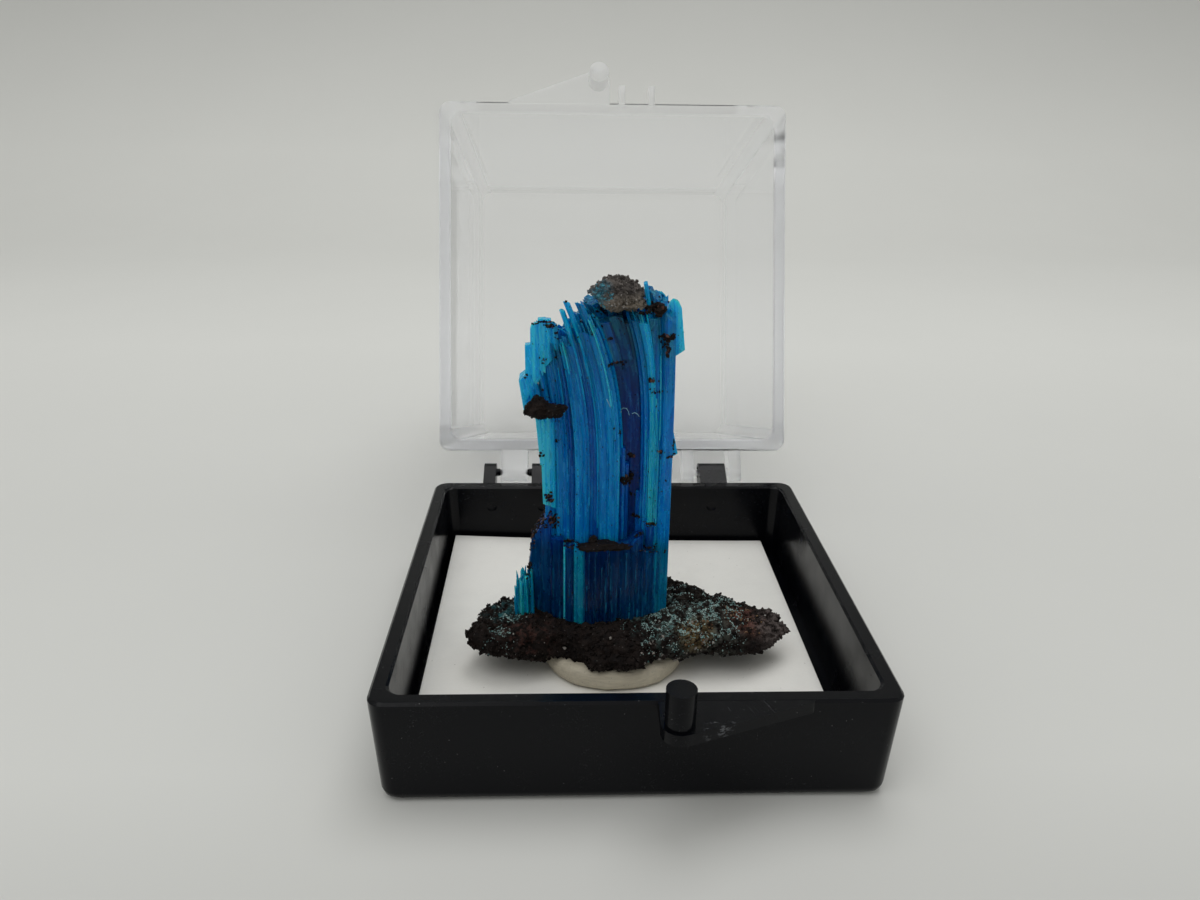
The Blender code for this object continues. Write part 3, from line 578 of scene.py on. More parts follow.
def brown_rock():
    """Grey-brown gritty rock of the cap, pale below and bluish on its left."""
    base = (0.022, 0.018, 0.017)
    material, tree, shader = new_material("gritty_cap", base, Roughness=0.85)
    spot = place_on(tree)
    grain = effect(tree, "Grain", grain_group, Vector=spot, Scale=2.4, Sharpness=0.8)
    colour = mix(tree, grain.outputs["Mask"], base, (0.095, 0.08, 0.073))
    worn = noise_value(tree, spot, 0.9, 4.0)
    colour = mix(tree, between(tree, worn, 0.48, 0.62, 0.0, 0.7), colour, (0.17, 0.15, 0.135))
    height = node(tree, "ShaderNodeSeparateXYZ", {"Vector": spot}).outputs["Z"]
    low = between(tree, height, CAP_LOW.z / MM + 2.2, CAP_LOW.z / MM + 1.0)
    colour = mix(tree, maths(tree, "MULTIPLY", low, 0.75), colour, (0.27, 0.23, 0.18))
    patchy = noise_value(tree, spot, 1.6, 5.0)
    side = maths(tree, "MULTIPLY", near(tree, spot, CAP_BLUE_SPOT, 2.2), between(tree, patchy, 0.36, 0.56))
    colour = mix(tree, side, colour, (0.02, 0.13, 0.19))
    tree.links.new(colour, shader.inputs["Base Color"])
    tree.links.new(bump(tree, grain.outputs["Height"], 0.9, 0.12 * MM), shader.inputs["Normal"])
    return material


def gritty(name, colour, second, rough=0.6):
    """Plain grains of one mineral, in two tones."""
    material, tree, shader = new_material(name, colour, Roughness=rough)
    tone = noise_value(tree, place_on(tree), 1.9, 3.0)
    tree.links.new(mix(tree, between(tree, tone, 0.35, 0.65), colour, second), shader.inputs["Base Color"])
    return material


def blue_crystal(settings):
    """Chalcanthite: clear blue that darkens with depth, with silky streaks along the fibres."""
    material, tree, shader = new_material(
        "blue_fibres", (0.006, 0.24, 0.55), IOR=settings.crystal_index,
        Transmission_Weight=settings.crystal_clearness, Specular_IOR_Level=0.05,
        Subsurface_Weight=0.85, Subsurface_Radius=(0.15, 0.6, 1.3), Subsurface_Scale=0.9 * MM)
    fibre = node(tree, "ShaderNodeAttribute", attribute_name="fibre_space").outputs["Vector"]
    tone = node(tree, "ShaderNodeAttribute", attribute_name="tone").outputs["Fac"]
    strand = node(tree, "ShaderNodeAttribute", attribute_name="strand").outputs["Fac"]
    spot = place_on(tree)
    own = node(tree, "ShaderNodeCombineXYZ", {
        "X": maths(tree, "MULTIPLY", strand, 37.0), "Y": maths(tree, "MULTIPLY", strand, 11.0)}).outputs[0]
    thread = node(tree, "ShaderNodeVectorMath", {0: fibre, 1: own}, operation="ADD").outputs["Vector"]
    silk = noise_value(tree, stretched(tree, thread, (1.0, 1.0, 0.045)), 3.6, 4.0, 0.65)
    hairs = noise_value(tree, stretched(tree, thread, (1.0, 1.0, 0.02)), 12.0, 3.0, 0.6)
    cloud = noise_value(tree, stretched(tree, thread, (1.0, 1.0, 0.35)), 0.9, 4.0, 0.6)
    uneven = maths(
        tree, "ADD", between(tree, silk, 0.3, 0.7, -0.11, 0.11), between(tree, cloud, 0.3, 0.7, -0.08, 0.08))
    uneven = maths(tree, "ADD", uneven, between(tree, hairs, 0.35, 0.65, -0.05, 0.05))
    level = maths(tree, "MULTIPLY_ADD", uneven, between(tree, tone, 0.0, 0.3, 0.5, 1.0), tone)
    colour = ramp(tree, level, [
        (0.0, (0.0, 0.022, 0.16)), (0.3, (0.0, 0.125, 0.52)), (0.55, (0.001, 0.28, 0.74)),
        (0.82, (0.004, 0.50, 0.97)), (1.0, (0.06, 0.70, 1.0))])
    height = node(tree, "ShaderNodeSeparateXYZ", {"Vector": spot}).outputs["Z"]
    weathered = maths(tree, "MULTIPLY", between(tree, height, 33.0, 42.0), between(tree, cloud, 0.32, 0.58))
    weathered = maths(tree, "MULTIPLY", weathered, between(tree, tone, 0.85, 0.6))
    old = ramp(tree, silk, [(0.36, (0.002, 0.05, 0.09)), (0.5, (0.006, 0.15, 0.23)), (0.64, (0.05, 0.33, 0.42))])
    colour = mix(tree, maths(tree, "MULTIPLY", weathered, 0.85), colour, old)
    shaded = maths(
        tree, "MULTIPLY", between(tree, height, STEP_TOP + 1.0, STEP_TOP - 1.0), between(tree, tone, 0.95, 0.7))
    colour = mix(tree, shaded, colour, mix(tree, 1.0, colour, (1.0, 0.80, 0.56), "MULTIPLY"))
    pale = maths(tree, "MULTIPLY", between(tree, silk, 0.56, 0.7), between(tree, cloud, 0.45, 0.62))
    colour = mix(tree, maths(tree, "MULTIPLY", pale, 0.7), colour, (0.05, 0.56, 0.84))
    dots = effect(tree, "Specks", specks_group, Vector=fibre, Scale=3.1, Size=0.13, Coverage=0.7).outputs["Mask"]
    dots = maths(tree, "MULTIPLY", dots, between(tree, tone, 0.15, 0.35))
    colour = mix(tree, maths(tree, "MULTIPLY", dots, 0.6), colour, (0.08, 0.60, 0.82))
    specks = effect(tree, "Specks", specks_group, Vector=spot, Scale=2.2, Size=0.15, Coverage=0.4).outputs["Mask"]
    grime = maths(tree, "MULTIPLY", between(tree, cloud, 0.64, 0.72), between(tree, hairs, 0.5, 0.62))
    dirt = maths(tree, "MAXIMUM", specks, maths(tree, "MULTIPLY", grime, 0.7))
    colour = mix(tree, dirt, colour, (0.010, 0.008, 0.008))
    tree.links.new(colour, shader.inputs["Base Color"])
    rough = between(tree, cloud, 0.35, 0.7, 0.16, 0.4)
    rough = maths(tree, "ADD", rough, maths(tree, "MULTIPLY", dirt, 0.5))
    tree.links.new(rough, shader.inputs["Roughness"])
    relief = maths(tree, "ADD", maths(tree, "MULTIPLY", silk, 0.7), maths(tree, "MULTIPLY", hairs, 0.4))
    tree.links.new(bump(tree, relief, 0.35, 0.08 * MM), shader.inputs["Normal"])
    depth = node(tree, "ShaderNodeVolumeAbsorption", {
        "Color": (*settings.absorption_colour, 1.0), "Density": settings.absorption})
    tree.links.new(depth.outputs["Volume"], tree.nodes["Material Output"].inputs["Volume"])
    return material


WALL_HAZE, RIM_HAZE = 0.03, 0.4
BROAD_FACE = 150 * MM**2
# Centre of the patch at the ledge's tip, in millimetres. The patch is partly a scuff and partly a painted highlight.
SCUFF_HIGHLIGHT_CENTRE = (7.0, -29.0, 11.8)
CAP_BLUE_SPOT = (-4.0, -5.0, 45.2)
CHIP_LIFT = 0.65 * MM
CHIP_SCALE = 0.9
CAP_FLATNESS = 0.76
CAP_DROP = 0.45 * MM
CAP_SHOULDER = (-0.6, -4.4, 44.3)
CAP_SHOULDER_REACH = (1.7, 1.3, 0.65)
ROCK_PATCHES = [  # centre, radius, colour, noise from and to
    ((8.0, -8.0, 10.0), 6.5, (0.07, 0.075, 0.065), 0.46, 0.60),
    ((4.5, -7.0, 10.0), 5.5, (0.07, 0.14, 0.135), 0.54, 0.64),
    ((13.4, -6.6, 9.5), 3.4, (0.10, 0.028, 0.018), 0.44, 0.58),
    ((7.2, -9.6, 9.2), 2.4, (0.16, 0.11, 0.045), 0.42, 0.56),
    ((16.5, -6.8, 8.2), 3.8, (0.12, 0.10, 0.095), 0.40, 0.60),
    ((-13.6, -5.4, 9.4), 2.6, (0.02, 0.09, 0.10), 0.46, 0.60),
    ((-11.0, -9.5, 9.0), 4.0, (0.05, 0.022, 0.018), 0.50, 0.62),
]


def moulding(node_name, name, radius, material, body, slot, cuts=()):
    """An imported plastic solid with its edges rounded as a mould rounds them."""
    piece = new_object(name, from_bmesh(name, solid_copy(node_name), False), material)
    smooth(piece.data, 60)
    for cutter in cuts:
        cutting = piece.modifiers.new(cutter.name, "BOOLEAN")
        cutting.operation = "DIFFERENCE"
        cutting.object = cutter
    rounding = piece.modifiers.new("edges", "BEVEL")
    rounding.width = radius
    rounding.segments = 2
    rounding.limit_method = "ANGLE"
    rounding.angle_limit = math.radians(40)
    rounding.use_clamp_overlap = True
    flats = piece.modifiers.new("flat_faces", "WEIGHTED_NORMAL")
    flats.mode = "FACE_AREA"
    flats.weight = 100
    flats.keep_sharp = True
    applied(piece)
    for cutter in cuts:
        bpy.data.objects.remove(cutter)
    narrow = piece.data.attributes.new("narrow", "FLOAT", "FACE")
    narrow.data.foreach_set("value", [float(face.area < BROAD_FACE) for face in piece.data.polygons])
    return finish_piece(piece, body, slot, node_name)


def sink_mark(x):
    """Shallow dimple that a hinge arm leaves on the inner face of the back wall."""
    bm = bmesh.new()
    bmesh.ops.create_uvsphere(bm, u_segments=24, v_segments=12, radius=1.0)
    size = Matrix.Diagonal((0.75 * MM, 0.16 * MM, 0.75 * MM, 1.0))
    centre = Matrix.Translation((x * MM, TRAY_HIGH.y - 6.1 * MM - 0.02 * MM, 8.8 * MM))
    bmesh.ops.transform(bm, matrix=centre @ size, verts=bm.verts)
    return new_object("sink_mark", from_bmesh("sink_mark", bm))


def build_card(material):
    """The warped card with soft corners and a fine grid for its curl."""
    cells = 44
    bm = bmesh.new()
    low, high = CARD_LOW, CARD_HIGH
    top = 3.9 * MM
    lift = high.z - top

    def spot(u, v, level):
        curl = lift * max(0.0, v - u) ** 2
        return Vector((low.x + (high.x - low.x) * u, low.y + (high.y - low.y) * v, level + curl))

    sheets = []
    for level in (low.z, top):
        grid = [[bm.verts.new(spot(i / cells, j / cells, level)) for j in range(cells + 1)]
                for i in range(cells + 1)]
        for i in range(cells):
            for j in range(cells):
                bm.faces.new((grid[i][j], grid[i + 1][j], grid[i + 1][j + 1], grid[i][j + 1]))
        sheets.append(grid)
    border = [(i, 0) for i in range(cells)] + [(cells, j) for j in range(cells)]
    border += [(i, cells) for i in range(cells, 0, -1)] + [(0, j) for j in range(cells, 0, -1)]
    for (i, j), (k, m) in zip(border, border[1:] + border[:1]):
        bm.faces.new((sheets[0][i][j], sheets[0][k][m], sheets[1][k][m], sheets[1][i][j]))
    piece = new_object("white_card_board", from_bmesh("white_card_board", bm), material)
    rounding = piece.modifiers.new("edges", "BEVEL")
    rounding.width = 0.12 * MM
    rounding.segments = 2
    rounding.limit_method = "ANGLE"
    rounding.angle_limit = math.radians(60)
    applied(piece)
    smooth(piece.data, 50)
    return finish_piece(piece, "tray", "card", "white_card")


def build_putty(material):
    """Flattened ball of putty: bulging side, thumb dents and wipe ridges."""
    centre = (PUTTY_LOW + PUTTY_HIGH) / 2
    reach = (PUTTY_HIGH.x - PUTTY_LOW.x) / 2 * 0.985
    foot, top = CARD_HIGH.z - 1.05 * MM, MATRIX_LOW.z + 0.25 * MM
    around, rows = 180, 26
    bm = bmesh.new()
    rings = []
    for row in range(rows + 1):
        turn = math.pi * (row / rows - 0.5)
        bulge = math.copysign(abs(math.cos(turn)) ** 0.42, math.cos(turn))
        level = 0.5 + 0.5 * math.copysign(abs(math.sin(turn)) ** 0.8, math.sin(turn))
        share = 0.72 + 0.28 * bulge
        ring = []
        for i in range(around):
            angle = 2 * math.pi * i / around
            uneven = 1 + 0.02 * math.sin(2 * angle + 0.6) + 0.012 * math.sin(5 * angle)
            point = Vector((math.cos(angle) * reach * share * uneven, math.sin(angle) * reach * share * uneven, 0))
            point += Vector((centre.x, centre.y, foot + (top - foot) * level))
            point += noise.noise_vector(point / (1.6 * MM)) * 0.11 * MM * bulge
            point += noise.noise_vector(point / (0.5 * MM)) * 0.03 * MM * bulge
            ring.append(bm.verts.new(point))
        rings.append(ring)
    for lower, upper in zip(rings, rings[1:]):
        for i in range(around):
            j = (i + 1) % around
            bm.faces.new((lower[i], lower[j], upper[j], upper[i]))
    bm.faces.new(rings[0])
    bm.faces.new(rings[-1])
    piece = new_object("putty_ball", from_bmesh("putty_ball", bm), material)
    smooth(piece.data, 60)
    return finish_piece(piece, "tray", "putty", "putty_pad")


def remeshed(node_name, name, voxel, grow=0.0):
    """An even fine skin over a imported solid."""
    bm = solid_copy(node_name)
    bmesh.ops.triangulate(bm, faces=bm.faces)
    piece = new_object(name, from_bmesh(name, bm, False))
    skin = piece.modifiers.new("skin", "REMESH")
    skin.mode = "VOXEL"
    skin.voxel_size = voxel
    applied(piece)
    return piece


def coordinates(mesh):
    flat = np.empty(len(mesh.vertices) * 3)
    mesh.vertices.foreach_get("co", flat)
    return flat.reshape(-1, 3)


def vertex_normals(mesh):
    flat = np.empty(len(mesh.vertices) * 3)
    mesh.vertices.foreach_get("normal", flat)
    return flat.reshape(-1, 3)


def roughen(mesh, layers, seed, keep_above=None):
    """Moves the skin along its normals by several sizes of noise: (size, amount) in millimetres."""
    points, normals = coordinates(mesh), vertex_normals(mesh)
    offset = Vector((seed * 3.7, seed * 1.3, 0))
    push = np.zeros(len(points))
    for size, amount, ridged in layers:
        for i, point in enumerate(points):
            value = noise.noise(Vector(point) / (size * MM) + offset)
            push[i] += amount * MM * (0.45 - 2.0 * abs(value) if ridged else value)
    points = points + normals * push[:, None]
    if keep_above is not None:
        points[:, 2] = np.maximum(points[:, 2], keep_above)
    mesh.vertices.foreach_set("co", points.ravel())
    mesh.update()


GRAIN_SHAPE = np.array([(1, 0, 0), (-1, 0, 0), (0, 1, 0), (0, -1, 0), (0, 0, 1), (0, 0, -1)], float)
GRAIN_FACES = np.array([(0, 2, 4), (2, 1, 4), (1, 3, 4), (3, 0, 4), (2, 0, 5), (1, 2, 5), (3, 1, 5), (0, 3, 5)])


def surface_points(mesh, count, rng, allowed):
    """Random places on a mesh, evenly by area, where allowed(point, normal) holds."""
    mesh.calc_loop_triangles()
    corners = np.empty(len(mesh.loop_triangles) * 3, np.int64)
    mesh.loop_triangles.foreach_get("vertices", corners)
    corners = corners.reshape(-1, 3)
    points = coordinates(mesh)
    a, b, c = (points[corners[:, k]] for k in range(3))
    cross = np.cross(b - a, c - a)
    area = np.linalg.norm(cross, axis=1)
    normal = cross / np.maximum(area, 1e-15)[:, None]
    found = []
    tries = 0
    while len(found) < count and tries < 40:
        tries += 1
        picks = rng.choice(len(area), count, p=area / area.sum())
        u, v = rng.random(count), rng.random(count)
        turned = u + v > 1
        u[turned], v[turned] = 1 - u[turned], 1 - v[turned]
        spots = a[picks] + (b[picks] - a[picks]) * u[:, None] + (c[picks] - a[picks]) * v[:, None]
        chances = rng.random(count)
        for spot, facing, chance in zip(spots, normal[picks], chances):
            if chance < allowed(spot / MM, facing):
                found.append((spot, facing))
    return found[:count]


def grains(places, sizes, rng, flat=0.7, sink=0.2):
    """Vertices and faces of small angular grains, one at each place."""
    count = len(places)
    spots = np.array([place[0] for place in places])
    facing = np.array([place[1] for place in places])
    shape = GRAIN_SHAPE[None] * (1 + rng.uniform(-0.35, 0.35, (count, 6, 1)))
    shape = shape * sizes[:, None, None] * rng.uniform(flat, 1.25, (count, 1, 3))
    axes = np.linalg.qr(rng.normal(size=(count, 3, 3)))[0]
    shape = np.einsum("nij,nkj->nki", axes, shape)
    vertices = shape + (spots + facing * (sizes * (0.5 - sink))[:, None])[:, None]
    faces = GRAIN_FACES[None] + (np.arange(count) * 6)[:, None, None]
    return vertices.reshape(-1, 3), faces.reshape(-1, 3)


def add_grains(piece, material, places, low, high, rng, **shape):
    """Adds grains of one material to a piece's mesh, sizes in millimetres."""
    if not places:
        return
    sizes = (low + (high - low) * rng.random(len(places)) ** 2.2) * MM
    vertices, faces = grains(places, sizes, rng, **shape)
    mesh = bpy.data.meshes.new("grains")
    mesh.from_pydata(vertices.tolist(), [], faces.tolist())
    if material.name not in piece.data.materials:
        piece.data.materials.append(material)
    index = piece.data.materials.find(material.name)
    bm = bmesh.new()
    bm.from_mesh(piece.data)
    before = len(bm.faces)
    bm.from_mesh(mesh)
    bm.faces.ensure_lookup_table()
    for face in bm.faces[before:]:
        face.material_index = index
        face.smooth = False
    bm.to_mesh(piece.data)
    bm.free()
    bpy.data.meshes.remove(mesh)


def ball_mask(point, centre, radius):
    away = math.dist(point, centre) / radius
    return max(0.0, 1.0 - away)


def build_matrix(settings, rock, teal, pale, ochre):
    """Crusty lump of matrix, with loose grains and turquoise dust on its right shoulder."""
    piece = remeshed("matrix_rock", "matrix_rock_crust", settings.rock_voxel)
    piece.data.materials.append(rock)
    layers = [(3.4, 0.5, False), (1.5, 0.42, True), (0.75, 0.3, False), (0.42, 0.16, True)]
    roughen(piece.data, layers, 1)
    smooth(piece.data, 50)
    rng = np.random.default_rng(5)
    skin = piece.data.copy()

    def anywhere(point, facing):
        return 0.75

    def dusted(point, facing):
        up = max(0.0, facing[2] + 0.35)
        right = ball_mask(point, (6.2, -7.2, 9.8), 7.5) ** 0.8 + 0.5 * ball_mask(point, (10.8, -4.5, 9.6), 4.0)
        left = ball_mask(point, (-13.4, -5.4, 9.2), 3.0) + 0.8 * ball_mask(point, (-13.8, -9.6, 8.0), 2.4)
        patch = noise.noise(Vector(point) / 1.1) + 0.6 * noise.noise(Vector(point) / 0.45)
        return (right + left) * up * (1.0 if patch > 0.0 else 0.05)

    def bits(point, facing):
        low = ball_mask(point, (4.0, -11.2, 7.4), 3.0) + ball_mask(point, (7.5, -10.4, 7.6), 2.2)
        return 0.5 * low + 0.02

    def rusty(point, facing):
        return ball_mask(point, (7.2, -9.8, 9.4), 2.6) + 0.7 * ball_mask(point, (13.2, -6.8, 9.4), 3.2)

    add_grains(piece, rock, surface_points(skin, settings.grain_count, rng, anywhere), 0.1, 0.36, rng)
    add_grains(piece, teal, surface_points(skin, settings.grain_count, rng, dusted), 0.035, 0.11, rng)
    add_grains(piece, pale, surface_points(skin, 160, rng, bits), 0.08, 0.24, rng)
    add_grains(piece, ochre, surface_points(skin, 260, rng, rusty), 0.07, 0.2, rng)
    bpy.data.meshes.remove(skin)
    return finish_piece(piece, "tray", "dark_rock", "matrix_rock")


def build_cap(rock, grit, pale, blue):
    """Gritty rock that the blades carry at their top."""
    piece = remeshed("rock_cap", "rock_cap_crust", 0.1 * MM)
    piece.data.materials.append(rock)
    points = coordinates(piece.data)
    points[:, 2] = CAP_HIGH.z - CAP_DROP - (CAP_HIGH.z - points[:, 2]) * CAP_FLATNESS
    piece.data.vertices.foreach_set("co", points.ravel())
    shoulder = lump(Vector(CAP_SHOULDER) * MM, Vector(CAP_SHOULDER_REACH) * MM, random.Random(4), 5, False)
    shoulder.from_mesh(piece.data)
    shoulder.to_mesh(piece.data)
    shoulder.free()
    roughen(piece.data, [(1.6, 0.5, False), (0.7, 0.34, True), (0.35, 0.18, False)], 3)
    smooth(piece.data, 50)
    rng = np.random.default_rng(9)
    skin = piece.data.copy()

    def anywhere(point, facing):
        return 0.8

    def left(point, facing):
        return ball_mask(point, CAP_BLUE_SPOT, 2.4)

    def below(point, facing):
        return 0.7 if point[2] < CAP_LOW.z / MM + 1.9 else 0.04

    add_grains(piece, rock, surface_points(skin, 1500, rng, anywhere), 0.07, 0.24, rng)
    add_grains(piece, grit, surface_points(skin, 420, rng, anywhere), 0.05, 0.15, rng)
    add_grains(piece, pale, surface_points(skin, 500, rng, below), 0.06, 0.17, rng)
    add_grains(piece, blue, surface_points(skin, 150, rng, left), 0.07, 0.22, rng)
    bpy.data.meshes.remove(skin)
    return finish_piece(piece, "tray", "brown_rock", "rock_cap")


def build_chip(rock):
    """Dark flake wedged against the bundle's left side."""
    piece = remeshed("rock_chip", "rock_chip_flake", 0.07 * MM)
    piece.data.materials.append(rock)
    points = coordinates(piece.data)
    points[:, 2] = CHIP_LOW.z + CHIP_LIFT + (points[:, 2] - CHIP_LOW.z) * CHIP_SCALE
    points[:, 0] = CHIP_LOW.x + (points[:, 0] - CHIP_LOW.x) * CHIP_SCALE
    piece.data.vertices.foreach_set("co", points.ravel())
    roughen(piece.data, [(1.1, 0.22, False), (0.45, 0.14, True), (0.22, 0.07, False)], 5)
    smooth(piece.data, 50)
    rng = np.random.default_rng(12)
    add_grains(piece, rock, surface_points(piece.data, 420, rng, lambda point, facing: 0.7), 0.04, 0.15, rng)
    return finish_piece(piece, "tray", "dark_rock", "rock_chip")


def bend(x, z):
    """How far, in millimetres, a blade with its foot at x has bent at height z."""
    rise = max(0.0, z - BEND_START) / BEND_LENGTH
    reach = along([row[:2] for row in BEND], x)
    power = along([(row[0], row[2]) for row in BEND], x)
    return -reach * rise**power


class Bundle:
    """Collects blades as separate closed solids, then fuses them into one."""

    def __init__(self, seed):
        self.rng = random.Random(seed)
        self.holder = bpy.data.collections.new("blades")
        bpy.context.scene.collection.children.link(self.holder)

    def blade(self, x, y, width, depth, low, high, tone, sides=6, taper=0.9, slant=0.5, lean=None):
        """One flat-sided blade, in millimetres, with an oblique broken tip and its own brightness."""
        rng = self.rng
        turn = Matrix.Rotation(rng.uniform(-0.3, 0.3), 2)
        section = []
        for i in range(sides):
            angle = 2 * math.pi * (i + 0.5) / sides + rng.uniform(-0.2, 0.2)
            section.append(turn @ Vector((math.cos(angle) * width / 2, math.sin(angle) * depth / 2)))
        lean_x, lean_y = rng.uniform(-slant, slant), rng.uniform(-slant, slant)
        levels = 1 if lean is not None else max(2, round((high - max(low, BEND_START)) / 1.8))
        heights = [low] + [
            max(low, BEND_START) + (high - max(low, BEND_START)) * level / levels for level in range(levels + 1)]
        heights = [z for z, after in zip(heights, heights[1:]) if after - z > 0.01] + [high]
        bm = bmesh.new()
        rings = []
        for z in heights:
            scale = 1 + (taper - 1) * (z - low) / (high - low)
            ring = []
            for corner in section:
                height = z + (1.6 * (lean_x * corner.x + lean_y * corner.y) if z == high else 0.0)
                shift = bend(x, height) if lean is None else lean * (z - low) / (high - low)
                ring.append(bm.verts.new(Vector((x + shift + corner.x * scale, y + corner.y * scale, height)) * MM))
            rings.append(ring)
        for lower, upper in zip(rings, rings[1:]):
            for i in range(sides):
                j = (i + 1) % sides
                bm.faces.new((lower[i], lower[j], upper[j], upper[i]))
        bm.faces.new(rings[0][::-1])
        bm.faces.new(rings[-1])
        self.add(bm, [min(1.0, max(0.0, tone))] * len(bm.faces))

    def slab(self, left, right, front, back, low, high, tone, spread, straight=False, rounded=0.0, lean=(0.0, 0.0)):
        """A broad blade with a finely fluted front. Each end of front and high may differ: (at left, at right)."""
        rng = self.rng
        count = max(2, round((right - left) / rng.uniform(0.2, 0.3)))
        shares = [0.0] + sorted((i + rng.uniform(-0.3, 0.3)) / count for i in range(1, count)) + [1.0]
        section = []
        for share in shares:
            y = front[0] + (front[1] - front[0]) * share + rng.uniform(-0.03, 0.03)
            y += 0.09 if share in (0.0, 1.0) else 0.0
            section.append((left + (right - left) * share, y, share))
        section += [(right, back, 1.0), (left, back, 0.0)]
        foot = low if isinstance(low, tuple) else (low, low)
        low = max(foot)
        start = low if straight else max(low, min(BEND_START, min(high) - 1.0))
        levels = 1 if straight else max(2, round((max(high) - start) / 1.3))
        heights = sorted({low, *(start + (min(high) - 0.9 - start) * i / levels for i in range(levels + 1))})
        notch = rng.uniform(0.0, 0.3)
        bm = bmesh.new()
        rings = []
        for z in [*heights, None]:
            ring = []
            for x, y, share in section:
                level = foot[0] + (foot[1] - foot[0]) * share if z == heights[0] else z
                if z is None:
                    level = high[0] + (high[1] - high[0]) * share - (0.0 if straight else notch + rng.uniform(0, 0.3))
                    level -= rounded * abs(2 * share - 1) ** 3
                shift = lean[0] + (lean[1] - lean[0]) * share
                shift = shift * (level - low) / (max(high) - low) if straight else bend(x, level)
                ring.append(bm.verts.new(Vector((x + shift, y, level)) * MM))
            rings.append(ring)
        sides = len(section)
        tones = []
        for i in range(sides):
            tones.append(min(1.0, max(0.0, tone + rng.gauss(0, spread))))
        stored_tones = []
        for lower, upper in zip(rings, rings[1:]):
            for i in range(sides):
                j = (i + 1) % sides
                bm.faces.new((lower[i], lower[j], upper[j], upper[i]))
                stored_tones.append(tones[i])
        bm.faces.new(rings[0][::-1])
        bm.faces.new(rings[-1])
        self.add(bm, stored_tones + [tone, tone])

    def add(self, bm, tones):
        mesh = bpy.data.meshes.new("blade")
        bm.to_mesh(mesh)
        bm.free()
        strand = self.rng.random()
        for name, values in (("tone", tones), ("strand", [strand] * len(mesh.polygons))):
            stored = mesh.attributes.new(name, "FLOAT", "FACE")
            stored.data.foreach_set("value", values)
        self.holder.objects.link(bpy.data.objects.new("blade", mesh))

    def fuse(self, name):
        """One closed skin around all the blades."""
        members = list(self.holder.objects)
        first = members[0]
        mesh = first.data.copy()
        self.holder.objects.unlink(first)
        piece = new_object(name, mesh)
        union = piece.modifiers.new("fuse", "BOOLEAN")
        union.operation = "UNION"
        union.operand_type = "COLLECTION"
        union.collection = self.holder
        union.solver = "MANIFOLD"
        applied(piece)
        piece.data.materials.clear()
        for member in members:
            data = member.data
            bpy.data.objects.remove(member)
            bpy.data.meshes.remove(data)
        bpy.data.collections.remove(self.holder)
        return piece


def crest_height(x):
    """Height of the tips of blades that stand at x, found where the blade ends up."""
    return along(CREST, x + bend(x, 42.0))


def upper_front(x):
    """Front face and brightness of the upper bundle at x."""
    for left, right, front, foot, short, tone, spread in UPPER_BANDS:
        if left <= x <= right and short > 0:
            return front, tone
    return PLAN_FRONT + 0.6, 0.6


def lower_front(x):
    """Front face, tip and brightness of the thicker foot at x."""
    for left, right, front_left, front_right, tip_left, tip_right, tone, spread in LOWER_BANDS:
        if left <= x <= right:
            share = (x - left) / (right - left)
            front = front_left + (front_right - front_left) * share
            return front, tip_left + (tip_right - tip_left) * share, tone
    return PLAN_FRONT, STEP_TOP, 0.2


def fill_upper_bands(bundle):
    """Broad smooth slabs, with narrower blades behind them that make ragged tips."""
    rng = bundle.rng
    for left, right, front, foot, short, tone, spread in UPPER_BANDS:
        tip = -short if short < 0 else crest_height((left + right) / 2) - short
        bundle.slab(left, right, (front, front), front + 2.4, foot, (tip, tip), tone, spread)
        x = left
        while short > 0 and tone > 0.1 and foot < FOOT + 1.0 and x < right - 0.1:
            width = rng.uniform(0.3, 0.7)
            bundle.blade(x + width / 2, front + 1.0 + rng.uniform(-0.5, 0.3), width, rng.uniform(0.8, 1.6), 28.0,
                         crest_height(x) - 1.1 * rng.random() ** 2, tone + rng.gauss(0, 0.1))
            x += width


def fill_lower_bands(bundle):
    for left, right, front_left, front_right, tip_left, tip_right, tone, spread in LOWER_BANDS:
        bundle.slab(left, right, (front_left, front_right), front_right + 3.0, FOOT, (tip_left, tip_right), tone,
                    spread, straight=True)


def fill_inside(bundle, count):
    """Blades that show at the top, the back and the two sides."""
    rng = bundle.rng
    middle_y, half_y = (PLAN_FRONT + PLAN_BACK) / 2, (PLAN_BACK - PLAN_FRONT) / 2
    for offset in (-4.4, -1.5, 1.5, 4.2):
        middle = (PLAN_LEFT + PLAN_RIGHT) / 2 + offset
        bundle.blade(middle, middle_y + 0.5, 4.2, 5.0, FOOT, crest_height(middle) - 3.2, 0.2, sides=8, taper=0.97,
                     slant=0.05)
    for index in range(count):
        x = rng.uniform(PLAN_LEFT + 0.3, PLAN_RIGHT - 0.3)
        width, depth = rng.uniform(0.6, 1.7), rng.uniform(0.7, 2.0)
        edge = rng.random()
        tone = rng.uniform(0.15, 0.6)
        high = crest_height(x) - 3.2 * rng.random() ** 1.6
        if edge < 0.42:
            y = PLAN_BACK - depth / 2 + rng.uniform(-0.5, 0.12)
            low = FOOT if rng.random() < 0.6 else rng.uniform(FOOT, 26.0)
            high -= 6.0 * rng.random() ** 4
        elif edge < 0.62:
            left = rng.random() < 0.5
            x = PLAN_LEFT + 0.35 if left else PLAN_RIGHT - 0.35
            y = middle_y + half_y * rng.uniform(-0.75, 0.85)
            low, tone = FOOT, rng.uniform(0.5, 0.85)
            high = crest_height(x) - 3.0 * rng.random()
        else:
            y = middle_y + half_y * rng.uniform(-0.32, 0.8)
            low = 30.0
        bundle.blade(x, y, width, depth, low, high, tone, slant=0.7)


